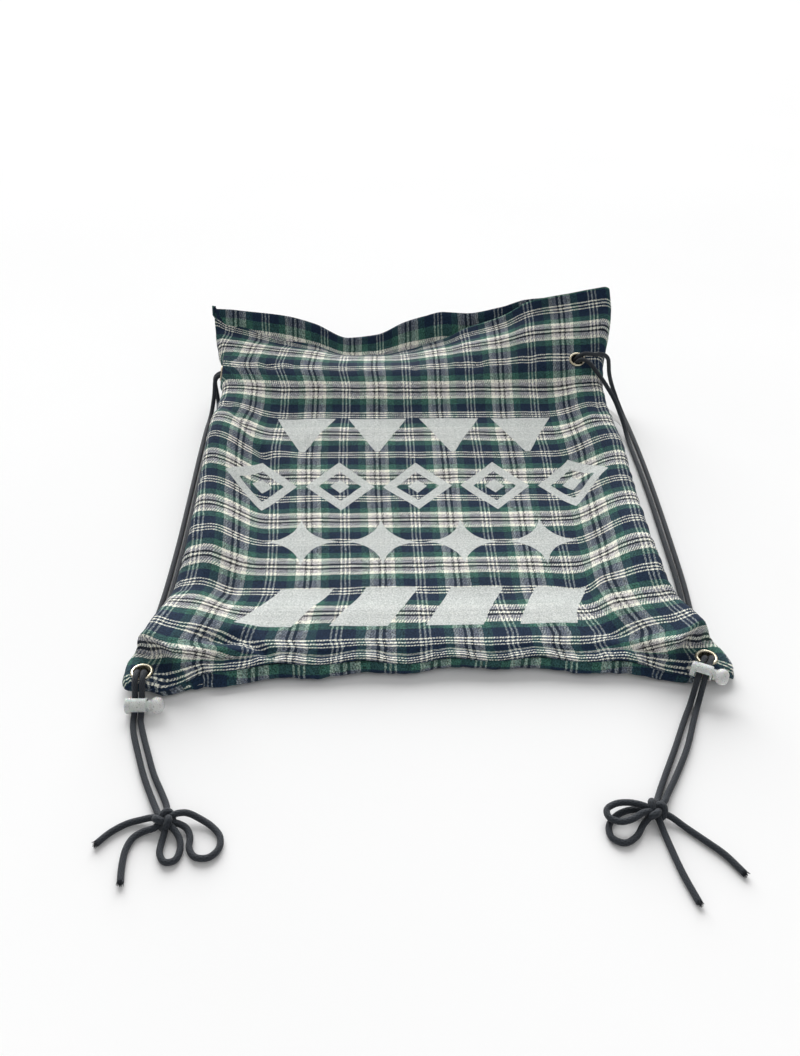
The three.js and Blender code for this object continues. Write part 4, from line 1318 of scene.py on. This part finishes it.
class GYMBAG_OT_locks(bpy.types.Operator):
    """Mould the two cord locks, each a barrel and a sprung plunger"""

    bl_idname = "gymbag.locks"
    bl_label = "Cord locks"

    def execute(self, context):
        settings = context.scene.gymbag_hardware
        finish = frosted_plastic("frosted_plastic")
        for side in LOCKS:
            spot = lock_frame(side)
            name = f"lock_barrel_{side}"
            barrel = self.cut(name, self.barrel(settings), spot, SLOT_HALF)
            dress(barrel, finish, replaces=(name,))
            name = f"lock_plunger_{side}"
            plunger = self.cut(name, self.plunger(settings), spot, SLOT_HALF + TRAVEL)
            dress(plunger, finish, f"plunger_{side}", (name,))
        return {"FINISHED"}

    def barrel(self, settings):
        """Ribbed barrel with a blind bore, open towards the plunger's head."""
        r, c = BARREL_R, BARREL_CHAMFER
        profile = [
            (BARREL_FROM, 0.0), (BARREL_FROM, r - c), (BARREL_FROM + c * 0.3, r - c * 0.3),
            (BARREL_FROM + c, r),
        ]
        for x in RIB_AT:
            profile += [(x - RIB_HALF, r), (x, r - RIB_DEPTH), (x + RIB_HALF, r)]
        profile += [
            (BARREL_TO - 1.3, r), (BARREL_TO - 1.1, r), (BARREL_TO - 0.35, r - 0.1),
            (BARREL_TO, r - 0.45), (BARREL_TO, BORE_R), (BORE_FROM, BORE_R), (BORE_FROM, 0.0),
        ]
        return spun(profile, settings.steps)

    def plunger(self, settings):
        """Plain stem with a round head."""
        chamfer = PLUNGER_CHAMFER
        profile = [
            (PLUNGER_FROM, 0.0), (PLUNGER_FROM, PLUNGER_R - chamfer),
            (PLUNGER_FROM + chamfer, PLUNGER_R), (HEAD_FROM, PLUNGER_R),
        ]
        for k in range(HEAD_STEPS + 1):
            turn = math.pi * mix(HEAD_CUT, 1, k / HEAD_STEPS)
            x = HEAD_FROM + HEAD_LENGTH / 2 * (1 - math.cos(turn))
            profile.append((x, max(0.0, HEAD_R * math.sin(turn) ** HEAD_POWER)))
        return spun(profile, settings.steps)

    def cut(self, name, bm, spot, end):
        """Cuts the slot that the cords run through, from its plain side to the given end."""
        name += "_moulded"
        to_frame(bm, spot)
        piece = to_object(name + "_whole", bm)
        slot = bmesh.new()
        bmesh.ops.create_cube(slot, size=1.0)
        bmesh.ops.scale(slot, vec=(end + SLOT_HALF, 20, SLOT_H), verts=slot.verts)
        bmesh.ops.bevel(
            slot, geom=list(slot.edges), offset=SLOT_ROUND, offset_type="OFFSET", affect="EDGES",
            segments=4, profile=0.5, material=-1,
        )
        to_frame(slot, spot @ Matrix.Translation(((end - SLOT_HALF) / 2, 0, 0)))
        cutter = to_object(name + "_cutter", slot)
        cut = piece.modifiers.new("slot", "BOOLEAN")
        cut.operation = "DIFFERENCE"
        cut.solver = "EXACT"
        cut.object = cutter
        graph = bpy.context.evaluated_depsgraph_get()
        mesh = bpy.data.meshes.new_from_object(piece.evaluated_get(graph))
        mesh.name = name
        for spare in (piece, cutter):
            bpy.data.objects.remove(spare)
        moulded = bpy.data.objects.new(name, mesh)
        bpy.context.scene.collection.objects.link(moulded)
        mesh.shade_smooth()
        mesh.set_sharp_from_angle(angle=math.radians(SHARP))
        if len(mesh.vertices) < 100:
            raise RuntimeError(f"{name} lost its shape when its slot was cut")
        return moulded


class GYMBAG_OT_label(bpy.types.Operator):
    """Sew the blank care label into the side seam"""

    bl_idname = "gymbag.label"
    bl_label = "Care label"

    def execute(self, context):
        bm = bmesh.new()
        bmesh.ops.create_grid(bm, x_segments=16, y_segments=18, size=1.0)
        start, end = Vector(LABEL_FROM), Vector(LABEL_TO)
        run = end - start
        side = Vector((-run.y, run.x)).normalized()
        for vert in bm.verts:
            t, w = (vert.co.x + 1) / 2, (vert.co.y + 1) / 2
            bow = LABEL_BOW * math.sin(math.pi * t) + LABEL_RIPPLE * math.sin(5 * w + 2 * t) * t
            spot = start + run * t + side * (bow + LABEL_LIFT)
            vert.co = (spot.x, mix(*LABEL_Y, w), spot.y)
        bmesh.ops.recalc_face_normals(bm, faces=bm.faces)
        to_frame(bm)
        piece = to_object("care_label_tape", bm)
        wall = piece.modifiers.new("wall", "SOLIDIFY")
        wall.thickness = LABEL_THICK * MM
        wall.offset = 0.0
        dress(piece, label_satin("label_satin"), replaces=("care_label",))
        return {"FINISHED"}


class GYMBAG_PT_panel(bpy.types.Panel):
    """Lists the operators and their settings"""

    bl_idname = "GYMBAG_PT_panel"
    bl_label = "Gym Bag"
    bl_space_type = "VIEW_3D"
    bl_region_type = "UI"
    bl_category = "Gym Bag"

    def draw(self, context):
        layout = self.layout
        for operator in OPERATORS:
            layout.operator(operator.bl_idname)
        for group in SETTINGS:
            settings = getattr(context.scene, group)
            for name in settings.__annotations__:
                layout.prop(settings, name)


OPERATORS = (
    GYMBAG_OT_stage,
    GYMBAG_OT_cords,
    GYMBAG_OT_panels,
    GYMBAG_OT_rings,
    GYMBAG_OT_locks,
    GYMBAG_OT_label,
)
SETTINGS = {
    "gymbag_cloth": ClothSettings,
    "gymbag_cord": CordSettings,
    "gymbag_hardware": HardwareSettings,
    "gymbag_stage": StageSettings,
}


def register():
    for group in SETTINGS.values():
        bpy.utils.register_class(group)
    for name, group in SETTINGS.items():
        setattr(bpy.types.Scene, name, PointerProperty(type=group))
    for operator in (*OPERATORS, GYMBAG_PT_panel):
        bpy.utils.register_class(operator)


def unregister():
    for operator in (GYMBAG_PT_panel, *reversed(OPERATORS)):
        bpy.utils.unregister_class(operator)
    for name, group in SETTINGS.items():
        delattr(bpy.types.Scene, name)
        bpy.utils.unregister_class(group)


def main():
    register()
    bpy.ops.gymbag.stage()
    bpy.ops.gymbag.cords()
    bpy.ops.gymbag.panels()
    bpy.ops.gymbag.rings()
    bpy.ops.gymbag.locks()
    bpy.ops.gymbag.label()


if __name__ == "__main__":
    main()
